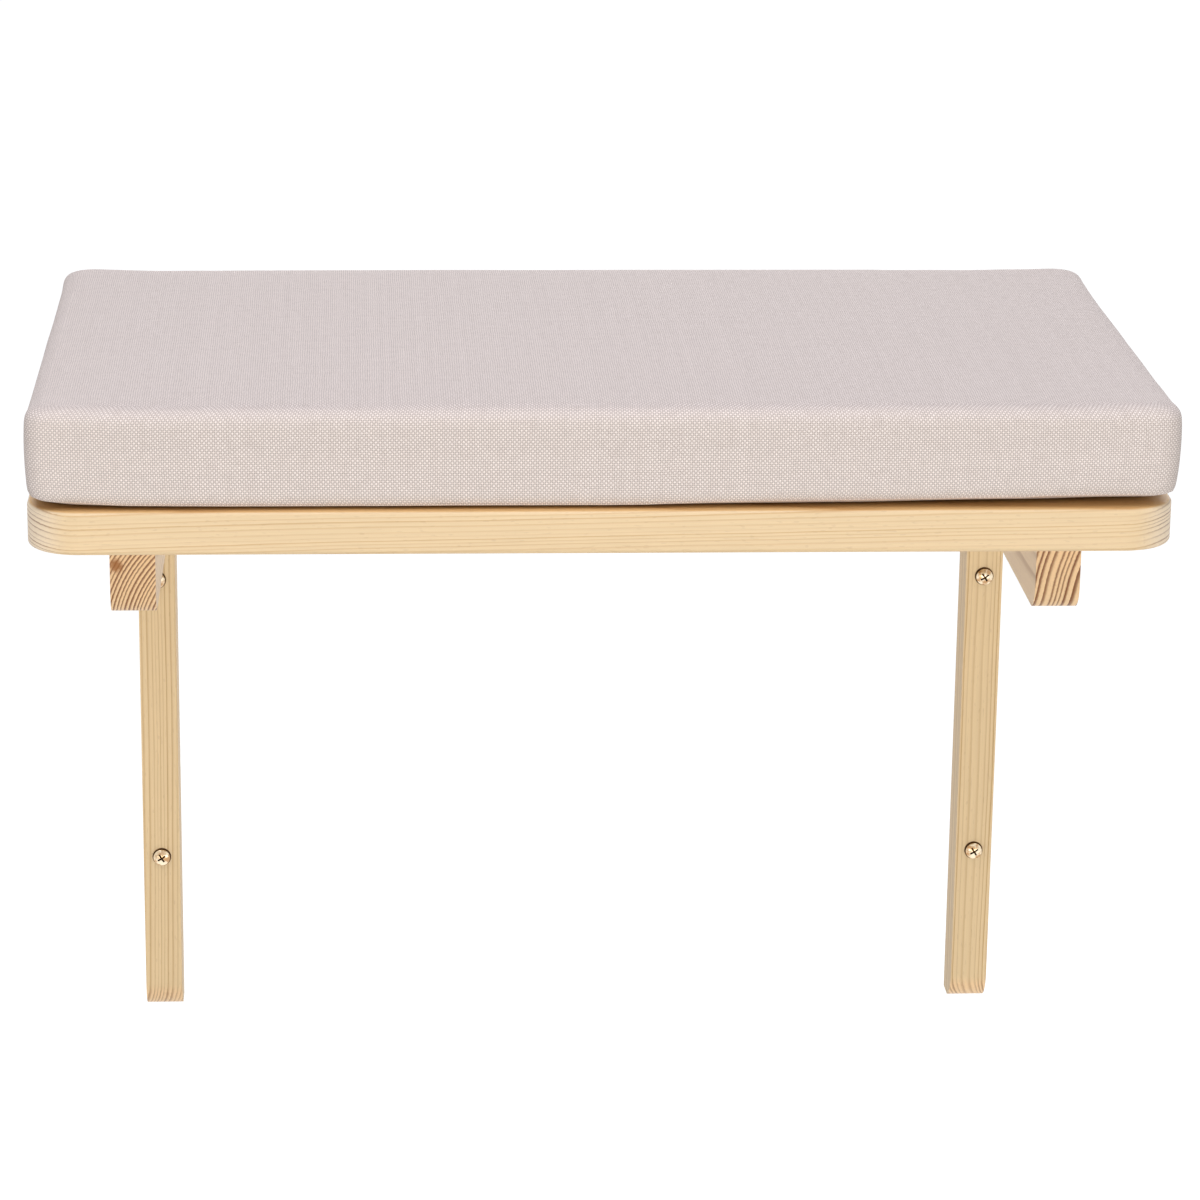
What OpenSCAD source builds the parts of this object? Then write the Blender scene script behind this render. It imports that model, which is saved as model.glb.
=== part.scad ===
// Cat perch that screws to a window frame or a wall: a pine board on two brackets,
// with a loose foam cushion in a zipped linen cover. Millimetres.
// +X is to the right seen from the front, +Y goes into the wall, +Z is up.
// The origin is the centre of the four wall screws, on the face of the wall.

/* [Board] */
// Width of the board
board_w = 520; // [460:5:640]
// Depth of the board, from the wall to its front edge
board_d = 305; // [260:5:380]
// Thickness of the board
board_t = 20; // [18:1:28]
// Radius of the board's corners, seen from above
board_corner_r = 24; // [12:1:40]
// Round-over along the board's top and bottom edges
board_edge_r = 2; // [0.5:0.5:4]

/* [Brackets] */
// Distance from the board's end to the middle of the bracket
bracket_inset = 45; // [30:1:70]
// Width of an arm
arm_w = 21; // [18:1:30]
// Height of an arm
arm_h = 45.5; // [36:0.5:60]
// How far the arm stops short of the board's front edge
arm_recess = 55; // [30:1:80]
// Radius at the lower front corner of an arm
arm_nose_r = 13; // [4:1:20]
// Width of a leg
leg_w = 19; // [17:1:30]
// Depth of a leg, from the wall to its front face
leg_d = 25; // [20:1:34]
// Length of a leg
leg_l = 334; // [300:1:420]
// Radius at the lower front corner of a leg
leg_toe_r = 18; // [4:1:20]
// Radius along the other edges of arms and legs
bar_edge_r = 1; // [0.5:0.1:2]

/* [Wall screws] */
// Distance between the upper and the lower screw of a leg
wall_screw_pitch = 152; // [120:2:170]
// Distance from the lower screw to the end of the leg
wall_screw_end = 88; // [60:1:110]
// Length of a wall screw under its head
wall_screw_l = 50; // [44:1:70]
// Radius of a wall screw's threaded end, in the wall
wall_screw_r = 2.25; // [2:0.05:3]
// Radius of a wall screw's smooth shank, in the leg
wall_shank_r = 1.8; // [1.4:0.05:2]
// Radius of a wall screw's pan head
pan_head_r = 4.65; // [4:0.05:6]
// Height of a wall screw's pan head
pan_head_h = 3.2; // [2.5:0.1:4]
// Radius of the clearance hole for a wall screw
wall_hole_r = 2.5; // [2.3:0.05:3.2]

/* [Joinery] */
// Length of the screw that joins a leg to its arm
corner_screw_l = 60; // [50:1:70]
// Radius of that screw's shank
corner_screw_r = 3.2; // [2.5:0.1:4]
// Radius of that screw's countersunk head
corner_head_r = 5; // [4.2:0.1:6]
// Length of the screws through the board
board_screw_l = 45; // [35:1:50]
// Radius of a board screw's shank
board_screw_r = 2; // [1.5:0.1:2.5]
// Radius of a board screw's countersunk head
board_head_r = 4; // [3:0.1:5]
// Distance from an arm's end to its nearest board screw
board_screw_inset = 45; // [30:1:60]
// Radius of a dowel between leg and arm
corner_dowel_r = 4; // [3:0.5:4]
// Length of a dowel between leg and arm
corner_dowel_l = 30; // [20:1:34]
// Distance from an arm's top or bottom to the middle of a corner dowel
corner_dowel_edge = 8; // [6:0.5:9]
// Radius of a dowel between board and arm
board_dowel_r = 3; // [2:0.5:4]
// Length of a dowel between board and arm
board_dowel_l = 24; // [16:1:28]
// Distance from a board screw to the dowel beside it
board_dowel_offset = 22; // [14:1:30]
// Radial clearance of screws and dowels in their holes
wood_fit = 0.05; // [0.02:0.01:0.1]

/* [Cushion] */
// Height of the cushion's sides
cushion_t = 47; // [40:1:70]
// How much the middle of the cushion stands above its edges
cushion_crown = 3; // [1:0.5:10]
// How far the front and the two ends draw in between the corners
cushion_draw = 1.5; // [0.5:0.5:5]
// How far the lower corners lift off the board
cushion_corner_lift = 4.5; // [1:0.5:6]
// Distance from the wall to the back of the cushion
cushion_rear_gap = 5; // [5:0.5:12]
// Radius of the cushion's corners, seen from above
cushion_corner_r = 16; // [13:1:30]
// Radius of the cushion's top edge
cushion_top_r = 10; // [6:0.5:12]
// Radius of the cushion's lower edge
cushion_low_r = 7; // [4:0.5:10]
// Thickness of the cover
cover_t = 1.2; // [1:0.1:1.5]
// Air left between soft pieces and what they rest on
soft_gap = 0.3; // [0.2:0.1:0.5]

/* [Grip pads] */
// Length of a hook or loop pad
grip_l = 60; // [40:1:80]
// Width of a hook or loop pad
grip_w = 25; // [16:1:30]
// Thickness of a hook pad
hook_t = 0.7; // [0.5:0.1:0.8]
// Thickness of a loop pad
loop_t = 0.5; // [0.3:0.1:0.6]
// Distance from the board's end to the middle of a pad
grip_end_inset = 115; // [100:1:140]
// Distance from the board's front and back edge to the middle of a pad
grip_side_inset = 60; // [40:1:80]

/* [Zip] */
// Distance from the cushion's end to the end of the zip
zip_end_inset = 40; // [34:1:120]
// Height of the opening for the zip
zip_slot_h = 10; // [9.8:0.1:12]
// Thickness of the zip tape
tape_t = 0.7; // [0.5:0.1:0.8]
// Height of one coil
coil_h = 2.2; // [1.8:0.1:2.4]
// Thickness of a coil
coil_t = 1.5; // [1.2:0.1:1.8]
// Gap between the two coils, in which the slider's neck runs
coil_gap = 1.1; // [0.9:0.1:1.4]
// Length of the slider
slider_l = 10; // [8:0.5:14]
// Thickness of the slider's two plates
slider_plate_t = 1; // [0.8:0.1:1.1]
// Running gap between the slider and the zip
slider_gap = 0.3; // [0.2:0.05:0.4]
// Length of the pull tab past the slider
pull_l = 22; // [14:1:30]
// Width of the pull tab
pull_w = 7; // [5:0.5:8]
// Thickness of the pull tab
pull_t = 1.2; // [1:0.1:1.4]

/* [Hidden] */

// Colours
pine = "#EFD4AA";
pine_dark = "#DCC095";
brass = "#D9B26A";
zinc = "#B9BBBE";
beech = "#D8B98B";
linen = "#D6C9C0";
foam_white = "#F2EFE6";
nylon = "#CFC5BC";

// Smoothness of round things
round_fn = 64;
small_fn = 32;

// Angles and shares
quarter = 90;
half_turn = 180;

// One overrun serves all cuts that go right through
cut = 1;

// Levels of the frame
lower_screw_z = -wall_screw_pitch / 2;
upper_screw_z = wall_screw_pitch / 2;
leg_bottom_z = lower_screw_z - wall_screw_end;
board_bottom_z = leg_bottom_z + leg_l;
board_top_z = board_bottom_z + board_t;
arm_bottom_z = board_bottom_z - arm_h;
arm_mid_z = board_bottom_z - arm_h / 2;

// Places along the depth
board_front_y = -board_d;
arm_front_y = board_front_y + arm_recess;

// Places across the width
bracket_x = board_w / 2 - bracket_inset;
sides = [-1, 1];

// Places of the screws and dowels between board and bracket
board_screw_ys = [arm_front_y + board_screw_inset, -leg_d - board_screw_inset];
board_dowel_ys = [board_screw_ys[0] + board_dowel_offset, board_screw_ys[1] - board_dowel_offset];
corner_dowel_zs = [arm_bottom_z + corner_dowel_edge, board_bottom_z - corner_dowel_edge];
dowel_end_gap = 0.5;
corner_head_sink = 1;
dowel_in_board_share = 0.4;
board_dowel_in_board = dowel_in_board_share * board_dowel_l;

// Screw tips and heads
tip_share = 1.4;
cross_w = 1.1;
cross_l_share = 1.15;
cross_depth_share = 0.6;
pan_rim_share = 0.35;

// The cushion's box, inside the plan of the board
cushion_w = board_w;
cushion_d = board_d - cushion_rear_gap;
cushion_mid_y = -cushion_rear_gap - cushion_d / 2;
cushion_z = board_top_z + soft_gap;
cushion_back_y = -cushion_rear_gap;

// The zip lies flat in a slot in the back of the cover
zip_l = cushion_w - 2 * zip_end_inset;
zip_z = cushion_z + cushion_t / 2;
tape_back_y = cushion_back_y - cover_t;
tape_face_y = tape_back_y + tape_t;
coil_face_y = tape_face_y + coil_t;
tape_past_coil = 8;
tape_l = zip_l + 2 * tape_past_coil;
sewn_gap = 0.1;
stop_l = 2.5;
coil_round_r = 0.5;

// Slider: an inner plate behind the tape and an outer plate over the coils
inner_plate_y = tape_back_y - slider_gap - slider_plate_t;
outer_plate_y = coil_face_y + slider_gap;
slider_top_y = outer_plate_y + slider_plate_t;
flange_in_z = coil_gap / 2 + coil_h + slider_gap;
flange_t = 0.9;
slider_half_h = flange_in_z + flange_t;
slider_round_r = 1.5;
neck_w = coil_gap - 2 * slider_gap;
neck_l = 3;
slider_x = zip_l / 2 - slider_gap - slider_l / 2;
bridge_l = 7;
bridge_w = 2;
bridge_bar_t = 0.9;
bridge_h = 2.5;

// Pull: a cross bar under the slider's bridge, two cheeks and the tab
pintle_r = 0.65;
pintle_gap = 0.12;
pintle_y = slider_top_y + pintle_gap + pintle_r;
cheek_gap = 0.3;
cheek_w = 1.2;
pull_eye_l = 4.5;
pull_hole_r = 1.6;
pull_hole_inset = 3.5;

// The foam keeps clear of the slider's inner plate
foam_skin = cover_t + soft_gap;
foam_back_y = inner_plate_y - soft_gap;
foam_front_y = cushion_back_y - cushion_d + foam_skin;
foam_d = foam_back_y - foam_front_y;

// Counts and shares of the cushion's rings
corner_steps = 5;
side_steps = 6;
edge_steps = 4;
top_shares = [0.8, 0.45];
base_shares = [0.93, 0.8, 0.5];
lift_power_x = 4;
lift_power_y = 8;
corner_signs = [[1, 1], [-1, 1], [-1, -1], [1, -1]];

// Shared shapes

// Lies an outline drawn in Y and Z across the X axis
module across_x(width) {
  rotate([quarter, 0, quarter])
    linear_extrude(width, center = true)
      children();
}

// Lies an outline drawn in X and Z along the Y axis, from the first depth to the second
module along_y(from_y, to_y) {
  translate([0, to_y, 0])
    rotate([quarter, 0, 0])
      linear_extrude(to_y - from_y)
        children();
}

// Turns a piece that points up so that it points into the wall
module into_wall() {
  rotate([-quarter, 0, 0])
    children();
}

// A rectangle from one corner to the other with true round corners
module round_rect(low, high, r) {
  translate(low + [r, 0])
    square(high - low - [2 * r, 0]);
  translate(low + [0, r])
    square(high - low - [0, 2 * r]);
  for (x = [low.x + r, high.x - r], y = [low.y + r, high.y - r])
    translate([x, y])
      circle(r, $fn = small_fn);
}

// The same rectangle with a larger radius at its low corner
module nosed_rect(low, high, nose_r, r) {
  difference() {
    round_rect(low, high, r);
    difference() {
      translate(low - [cut, cut])
        square([nose_r + cut, nose_r + cut]);
      translate(low + [nose_r, nose_r])
        circle(nose_r, $fn = round_fn);
    }
  }
}

// A screw hole with a cone for a countersunk head, head up at z = 0
module countersunk_hole(r, head_r, depth) {
  translate([0, 0, -depth])
    cylinder(h = depth + cut, r = r, $fn = round_fn);
  translate([0, 0, r - head_r])
    cylinder(h = head_r - r, r1 = r, r2 = head_r, $fn = round_fn);
  cylinder(h = cut, r = head_r, $fn = round_fn);
}

// A countersunk screw with a pointed end, head up at z = 0
module countersunk_screw(r, head_r, length) {
  tip_l = tip_share * r;
  head_h = head_r - r;
  difference() {
    union() {
      translate([0, 0, -head_h])
        cylinder(h = head_h, r1 = r, r2 = head_r, $fn = round_fn);
      translate([0, 0, tip_l - length])
        cylinder(h = length - tip_l - head_h, r = r, $fn = round_fn);
      translate([0, 0, -length])
        cylinder(h = tip_l, r1 = 0, r2 = r, $fn = round_fn);
    }
    cross_recess(head_r, head_h);
  }
}

// The cross recess in a screw head whose top is at z = 0
module cross_recess(head_r, head_h) {
  recess_l = cross_l_share * head_r;
  recess_h = cross_depth_share * head_h;
  for (a = [0, quarter])
    rotate(a)
      translate([-recess_l / 2, -cross_w / 2, -recess_h])
        cube([recess_l, cross_w, recess_h + cut]);
}

// A pan head screw that points up, with the underside of its head at z = 0
module pan_screw() {
  tip_l = 2 * tip_share * wall_screw_r;
  rim_h = pan_rim_share * pan_head_h;
  dome_h = pan_head_h - rim_h;
  dome_r = (pow(pan_head_r, 2) + pow(dome_h, 2)) / (2 * dome_h);
  cylinder(h = leg_d, r = wall_shank_r, $fn = round_fn);
  translate([0, 0, leg_d])
    cylinder(h = wall_screw_l - leg_d - tip_l, r = wall_screw_r, $fn = round_fn);
  translate([0, 0, wall_screw_l - tip_l])
    cylinder(h = tip_l, r1 = wall_screw_r, r2 = 0, $fn = round_fn);
  difference() {
    intersection() {
      translate([0, 0, -pan_head_h])
        cylinder(h = pan_head_h, r = pan_head_r, $fn = round_fn);
      translate([0, 0, dome_r - pan_head_h])
        sphere(dome_r, $fn = round_fn);
    }
    translate([0, 0, -pan_head_h])
      rotate([half_turn, 0, half_turn / 4])
        cross_recess(pan_head_r, pan_head_h);
  }
}

// Outline points of the cushion. Every ring has the same count, so rings join up.
function corner_point(half, r, k, t) =
  [corner_signs[k].x * (half.x - r), corner_signs[k].y * (half.y - r)]
  + r * [cos(quarter * (k + t)), sin(quarter * (k + t))];

// The back, which is side 0, stays straight and the other sides draw in
function side_point(half, r, draw, k, t) =
  let (
    from = corner_point(half, r, k, 1),
    to = corner_point(half, r, (k + 1) % 4, 0),
    depth = k == 0 ? 0 : draw * pow(sin(half_turn * t), 2),
    out = [cos(quarter * (k + 1)), sin(quarter * (k + 1))]
  )
  from + t * (to - from) - depth * out;

function outline(half, r, draw) = [
  for (k = [0:3])
    each concat(
      [for (i = [0:corner_steps]) corner_point(half, r, k, i / corner_steps)],
      [for (j = [1:side_steps - 1]) side_point(half, r, draw, k, j / side_steps)]
    )
];

ring_size = 4 * (corner_steps + side_steps);

// Height of a point, with the crown towards the top and the corner lift towards the bottom
function formed_z(p, half, z, height) =
  let (u = min(1, abs(p.x) / half.x), v = min(1, abs(p.y) / half.y), up = z / height)
  z + cushion_crown * up * (1 - u * u) * (1 - v * v)
  + cushion_corner_lift * (1 - up) * pow(u, lift_power_x) * pow(v, lift_power_y);

// One ring of the cushion's skin, drawn in from the full outline by the inset
function skin_ring(half, r, inset, z, height, draw, base_z) = [
  for (p = outline(half - [inset, inset], r - inset, draw))
    [p.x, p.y, base_z + formed_z(p, half, z, height)]
];

// One ring on the flat top or bottom, at a share of the way from the middle
function flat_ring(half, r, inset, share, z, height, draw, base_z) = [
  for (p = outline(half - [inset, inset], r - inset, draw))
    [share * p.x, share * p.y, base_z + formed_z(share * p, half, z, height)]
];

// Rings from the lower edge, up the side and over the top edge
function side_rings(half, r, low_r, top_r, start, height, draw, base_z) = concat(
  [for (i = [0:edge_steps])
    let (a = quarter * i / edge_steps)
    skin_ring(half, r, low_r * (1 - sin(a)), start + low_r * (1 - cos(a)), height, draw, base_z)],
  [for (i = [0:edge_steps])
    let (a = quarter * i / edge_steps)
    skin_ring(half, r, top_r * (1 - cos(a)), height - top_r * (1 - sin(a)), height, draw, base_z)]
);

function top_rings(half, r, top_r, height, draw, base_z) = [
  for (s = top_shares)
    flat_ring(half, r, top_r, s, height, height, draw, base_z)
];

// Triangles between ring n and ring n + 1
function band_faces(n) = [
  for (i = [0:ring_size - 1])
    let (
      a = n * ring_size + i,
      b = n * ring_size + (i + 1) % ring_size,
      c = a + ring_size,
      d = b + ring_size
    )
    each [[a, c, b], [b, c, d]]
];

// Triangles from a ring to a point; up is true where the point ends the stack of rings
function fan_faces(n, point, up) = [
  for (i = [0:ring_size - 1])
    let (a = n * ring_size + i, b = n * ring_size + (i + 1) % ring_size)
    up ? [a, point, b] : [b, point, a]
];

// A closed solid from a stack of rings and a point at each end
module ring_solid(rings, first, last) {
  count = len(rings);
  points = concat([for (ring = rings) each ring], [first, last]);
  polyhedron(
    points,
    concat(
      [for (n = [0:count - 2]) each band_faces(n)],
      fan_faces(0, count * ring_size, false),
      fan_faces(count - 1, count * ring_size + 1, true)
    )
  );
}

// An open shell: the outer rings end at the outer point, the inner ones at the inner point
module ring_shell(outer, inner, outer_point, inner_point) {
  count = len(outer);
  shift = count * ring_size;
  points = concat(
    [for (ring = outer) each ring],
    [for (ring = inner) each ring],
    [outer_point, inner_point]
  );
  flip = function (face) [face[0] + shift, face[2] + shift, face[1] + shift];
  outer_faces = [for (n = [0:count - 2]) each band_faces(n)];
  polyhedron(
    points,
    concat(
      outer_faces,
      [for (face = outer_faces) flip(face)],
      fan_faces(count - 1, 2 * shift, true),
      [for (face = fan_faces(count - 1, shift + 1, true)) flip(face)],
      [for (i = [0:ring_size - 1])
        let (b = (i + 1) % ring_size)
        each [[i, b, shift + i], [b, shift + b, shift + i]]]
    )
  );
}

// Board and brackets

// One of the four round ends of the board, with its edges rounded over
module board_corner() {
  rotate_extrude($fn = round_fn)
    intersection() {
      round_rect([-board_corner_r, 0], [board_corner_r, board_t], board_edge_r);
      square([board_corner_r, board_t]);
    }
}

module platform_board() {
  half_x = board_w / 2 - board_corner_r;
  half_y = board_d / 2 - board_corner_r;
  color(pine)
    difference() {
      translate([0, -board_d / 2, board_bottom_z]) {
        for (x = [-half_x, half_x], y = [-half_y, half_y])
          translate([x, y, 0])
            board_corner();
        across_x(2 * half_x)
          round_rect([-board_d / 2, 0], [board_d / 2, board_t], board_edge_r);
        along_y(-half_y, half_y)
          round_rect([-board_w / 2, 0], [board_w / 2, board_t], board_edge_r);
      }
      for (side = sides) {
        for (y = board_screw_ys)
          translate([side * bracket_x, y, board_top_z])
            countersunk_hole(board_screw_r + wood_fit, board_head_r + wood_fit, board_t + cut);
        for (y = board_dowel_ys)
          translate([side * bracket_x, y, board_bottom_z - cut])
            cylinder(h = board_dowel_in_board + dowel_end_gap + cut, r = board_dowel_r + wood_fit,
                     $fn = round_fn);
      }
    }
}

module arm(side) {
  color(pine_dark)
    difference() {
      translate([side * bracket_x, 0, 0])
        intersection() {
          across_x(arm_w)
            nosed_rect([arm_front_y, arm_bottom_z], [-leg_d, board_bottom_z], arm_nose_r, bar_edge_r);
          along_y(arm_front_y, -leg_d)
            round_rect([-arm_w / 2, arm_bottom_z], [arm_w / 2, board_bottom_z], bar_edge_r);
        }
      for (y = board_screw_ys)
        translate([side * bracket_x, y, board_top_z - board_screw_l - wood_fit])
          cylinder(h = board_screw_l, r = board_screw_r + wood_fit, $fn = round_fn);
      for (y = board_dowel_ys)
        translate([side * bracket_x, y, board_bottom_z + board_dowel_in_board - board_dowel_l - dowel_end_gap])
          cylinder(h = board_dowel_l, r = board_dowel_r + wood_fit, $fn = round_fn);
      translate([side * bracket_x, -corner_screw_l - corner_head_sink - wood_fit, arm_mid_z])
        into_wall()
          cylinder(h = corner_screw_l, r = corner_screw_r + wood_fit, $fn = round_fn);
      for (z = corner_dowel_zs)
        translate([side * bracket_x, -leg_d - corner_dowel_l / 2 - dowel_end_gap, z])
          into_wall()
            cylinder(h = corner_dowel_l, r = corner_dowel_r + wood_fit, $fn = round_fn);
    }
}

module leg(side) {
  color(pine)
    difference() {
      translate([side * bracket_x, 0, 0])
        intersection() {
          across_x(leg_w)
            nosed_rect([-leg_d, leg_bottom_z], [0, board_bottom_z], leg_toe_r, bar_edge_r);
          along_y(-leg_d, 0)
            round_rect([-leg_w / 2, leg_bottom_z], [leg_w / 2, board_bottom_z], bar_edge_r);
        }
      for (z = [lower_screw_z, upper_screw_z])
        translate([side * bracket_x, -leg_d - cut, z])
          into_wall()
            cylinder(h = leg_d + 2 * cut, r = wall_hole_r, $fn = round_fn);
      translate([side * bracket_x, -corner_head_sink, arm_mid_z])
        into_wall()
          countersunk_hole(corner_screw_r + wood_fit, corner_head_r + wood_fit, leg_d + cut);
      for (z = corner_dowel_zs)
        translate([side * bracket_x, -leg_d - corner_dowel_l / 2, z])
          into_wall()
            cylinder(h = corner_dowel_l + dowel_end_gap, r = corner_dowel_r + wood_fit, $fn = round_fn);
    }
}

module left_arm() { arm(-1); }
module right_arm() { arm(1); }
module left_leg() { leg(-1); }
module right_leg() { leg(1); }

// Fasteners

module wall_screws() {
  color(brass)
    for (side = sides, z = [lower_screw_z, upper_screw_z])
      translate([side * bracket_x, -leg_d, z])
        into_wall()
          pan_screw();
}

module corner_screws() {
  color(zinc)
    for (side = sides)
      translate([side * bracket_x, -corner_head_sink, arm_mid_z])
        into_wall()
          countersunk_screw(corner_screw_r, corner_head_r, corner_screw_l);
}

module corner_dowels() {
  color(beech)
    for (side = sides, z = corner_dowel_zs)
      translate([side * bracket_x, -leg_d - corner_dowel_l / 2, z])
        into_wall()
          cylinder(h = corner_dowel_l, r = corner_dowel_r, $fn = round_fn);
}

module board_screws() {
  color(zinc)
    for (side = sides, y = board_screw_ys)
      translate([side * bracket_x, y, board_top_z])
        countersunk_screw(board_screw_r, board_head_r, board_screw_l);
}

module board_dowels() {
  color(beech)
    for (side = sides, y = board_dowel_ys)
      translate([side * bracket_x, y, board_bottom_z + board_dowel_in_board - board_dowel_l])
        cylinder(h = board_dowel_l, r = board_dowel_r, $fn = round_fn);
}

// Grip pads: hooks stuck to the board, loops sewn into openings of the cover's base

grip_round_r = 3;

module grip_pads(margin, low_z, thickness) {
  x_mid = board_w / 2 - grip_end_inset;
  for (x = [-x_mid, x_mid], y = [board_front_y + grip_side_inset, -grip_side_inset])
    translate([x, y, low_z])
      linear_extrude(thickness)
        round_rect(
          [-grip_l / 2 - margin, -grip_w / 2 - margin],
          [grip_l / 2 + margin, grip_w / 2 + margin],
          grip_round_r
        );
}

module hook_pads() {
  color(nylon)
    grip_pads(0, board_top_z, hook_t);
}

module loop_pads() {
  color(nylon)
    grip_pads(2 * soft_gap - sewn_gap, cushion_z + cover_t - loop_t, loop_t);
}

// Cushion

module cushion_foam() {
  half = [cushion_w / 2 - foam_skin, foam_d / 2];
  r = cushion_corner_r - foam_skin;
  low_r = cushion_low_r - foam_skin;
  top_r = cushion_top_r - foam_skin;
  height = cushion_t - 2 * foam_skin;
  base_z = cushion_z + foam_skin;
  middle = [0, 0];
  base_rings = [
    for (i = [len(base_shares) - 1:-1:0])
      flat_ring(half, r, low_r, base_shares[i], 0, height, cushion_draw, base_z)
  ];
  color(foam_white)
    translate([0, (foam_back_y + foam_front_y) / 2, 0])
      ring_solid(
        concat(
          base_rings,
          side_rings(half, r, low_r, top_r, 0, height, cushion_draw, base_z),
          top_rings(half, r, top_r, height, cushion_draw, base_z)
        ),
        [0, 0, base_z],
        [0, 0, base_z + formed_z(middle, half, height, height)]
      );
}

// Rings of the cover's skin, drawn in by a distance from its outer face
function cover_rings(inward) =
  let (
    half = [cushion_w / 2 - inward, cushion_d / 2 - inward],
    r = cushion_corner_r - inward,
    height = cushion_t - inward
  )
  concat(
    side_rings(half, r, cushion_low_r - inward, cushion_top_r - inward, inward, height,
               cushion_draw, cushion_z),
    top_rings(half, r, cushion_top_r - inward, height, cushion_draw, cushion_z)
  );

function cover_peak(inward) =
  [0, 0, cushion_z + cushion_t - inward + cushion_crown];

module cover_top() {
  color(linen)
    difference() {
      translate([0, cushion_mid_y, 0])
        ring_shell(cover_rings(0), cover_rings(cover_t), cover_peak(0), cover_peak(cover_t));
      translate([-tape_l / 2, tape_back_y - cut, zip_z - zip_slot_h / 2])
        cube([tape_l, cover_t + 2 * cut, zip_slot_h]);
    }
}

module cover_base() {
  half = [cushion_w / 2, cushion_d / 2];
  inset = cushion_low_r + soft_gap;
  shares = concat([1], base_shares);
  up = [
    for (i = [len(shares) - 1:-1:0])
      flat_ring(half, cushion_corner_r, inset, shares[i], 0, cushion_t, cushion_draw, cushion_z)
  ];
  down = [
    for (s = shares)
      [for (p = flat_ring(half, cushion_corner_r, inset, s, 0, cushion_t, cushion_draw, cushion_z))
        p + [0, 0, cover_t]]
  ];
  color(linen)
    difference() {
      translate([0, cushion_mid_y, 0])
        ring_solid(concat(up, down), [0, 0, cushion_z], [0, 0, cushion_z + cover_t]);
      grip_pads(2 * soft_gap, cushion_z - cut, cover_t + 2 * cut);
    }
}

// Zip

// One half of the tape; side is 1 above the coils' gap and -1 below it
module zip_tape(side) {
  inner = coil_gap / 2;
  outer = zip_slot_h / 2 - sewn_gap;
  color(linen)
    translate([-tape_l / 2 + sewn_gap, tape_back_y, zip_z + (side > 0 ? inner : -outer)])
      cube([tape_l - 2 * sewn_gap, tape_t, outer - inner]);
}

module zip_coil(side) {
  low = side > 0 ? coil_gap / 2 : -coil_gap / 2 - coil_h;
  color(nylon)
    translate([0, 0, zip_z])
      across_x(zip_l - 2 * stop_l)
        difference() {
          translate([tape_face_y, low])
            square([coil_t, coil_h]);
          for (z = [low, low + coil_h])
            translate([coil_face_y, z])
              rotate(half_turn / 4)
                square(coil_round_r, center = true);
        }
}

module zip_tape_upper() { zip_tape(1); }
module zip_tape_lower() { zip_tape(-1); }
module zip_coil_upper() { zip_coil(1); }
module zip_coil_lower() { zip_coil(-1); }

// A stop on each half of the tape at both ends of the coils
module zip_end_stops() {
  stop_h = slider_half_h - coil_gap / 2;
  color(zinc)
    for (end = sides, side = sides)
      translate([end * (zip_l / 2 + stop_l / 2 + sewn_gap), 0, zip_z + side * (slider_half_h + coil_gap / 2) / 2])
        translate([-stop_l / 2, tape_face_y, -stop_h / 2])
          cube([stop_l, coil_t, stop_h]);
}

module slider_plate(from_y) {
  translate([slider_x, 0, zip_z])
    along_y(from_y, from_y + slider_plate_t)
      round_rect([-slider_l / 2, -slider_half_h], [slider_l / 2, slider_half_h], slider_round_r);
}

module zip_slider() {
  color(zinc) {
    slider_plate(inner_plate_y);
    slider_plate(outer_plate_y);
    translate([slider_x + slider_l / 2 - neck_l, inner_plate_y, zip_z - neck_w / 2])
      cube([neck_l - slider_round_r, slider_top_y - inner_plate_y, neck_w]);
    for (side = sides)
      translate([slider_x - slider_l / 2 + slider_round_r, tape_face_y + slider_gap,
                 zip_z + (side > 0 ? flange_in_z : -slider_half_h)])
        cube([slider_l - 2 * slider_round_r, slider_top_y - tape_face_y - slider_gap, flange_t]);
    translate([slider_x, 0, zip_z])
      linear_extrude(bridge_w, center = true)
        difference() {
          translate([-bridge_l / 2, slider_top_y - slider_plate_t / 2])
            square([bridge_l, bridge_h + slider_plate_t / 2]);
          translate([-bridge_l / 2 + bridge_bar_t, slider_top_y])
            square([bridge_l - 2 * bridge_bar_t, bridge_h - bridge_bar_t]);
        }
  }
}

// The pull lies along +X at rest and turns about the cross bar under the bridge
module zip_pull() {
  cheek_in = bridge_w / 2 + cheek_gap;
  cheek_out = cheek_in + cheek_w;
  color(zinc)
    translate([slider_x, pintle_y, zip_z]) {
      cylinder(h = 2 * cheek_out, r = pintle_r, center = true, $fn = small_fn);
      for (side = sides)
        translate([0, 0, side * (cheek_in + cheek_out) / 2]) {
          cylinder(h = cheek_w, r = pintle_r, center = true, $fn = small_fn);
          translate([0, -pull_t / 2, -cheek_w / 2])
            cube([pull_eye_l + pintle_r, pull_t, cheek_w]);
        }
      along_y(-pull_t / 2, pull_t / 2)
        difference() {
          round_rect([pull_eye_l, -pull_w / 2], [pull_eye_l + pull_l, pull_w / 2], slider_round_r);
          translate([pull_eye_l + pull_l - pull_hole_inset, 0])
            circle(pull_hole_r, $fn = small_fn);
        }
    }
}

platform_board();
left_arm();
right_arm();
left_leg();
right_leg();
wall_screws();
corner_screws();
corner_dowels();
board_screws();
board_dowels();
hook_pads();
loop_pads();
cushion_foam();
cover_top();
cover_base();
zip_tape_upper();
zip_tape_lower();
zip_coil_upper();
zip_coil_lower();
zip_end_stops();
zip_slider();
zip_pull();
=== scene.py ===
import math

import bmesh
import bpy
import numpy as np
from mathutils import Matrix, Vector, noise


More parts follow.
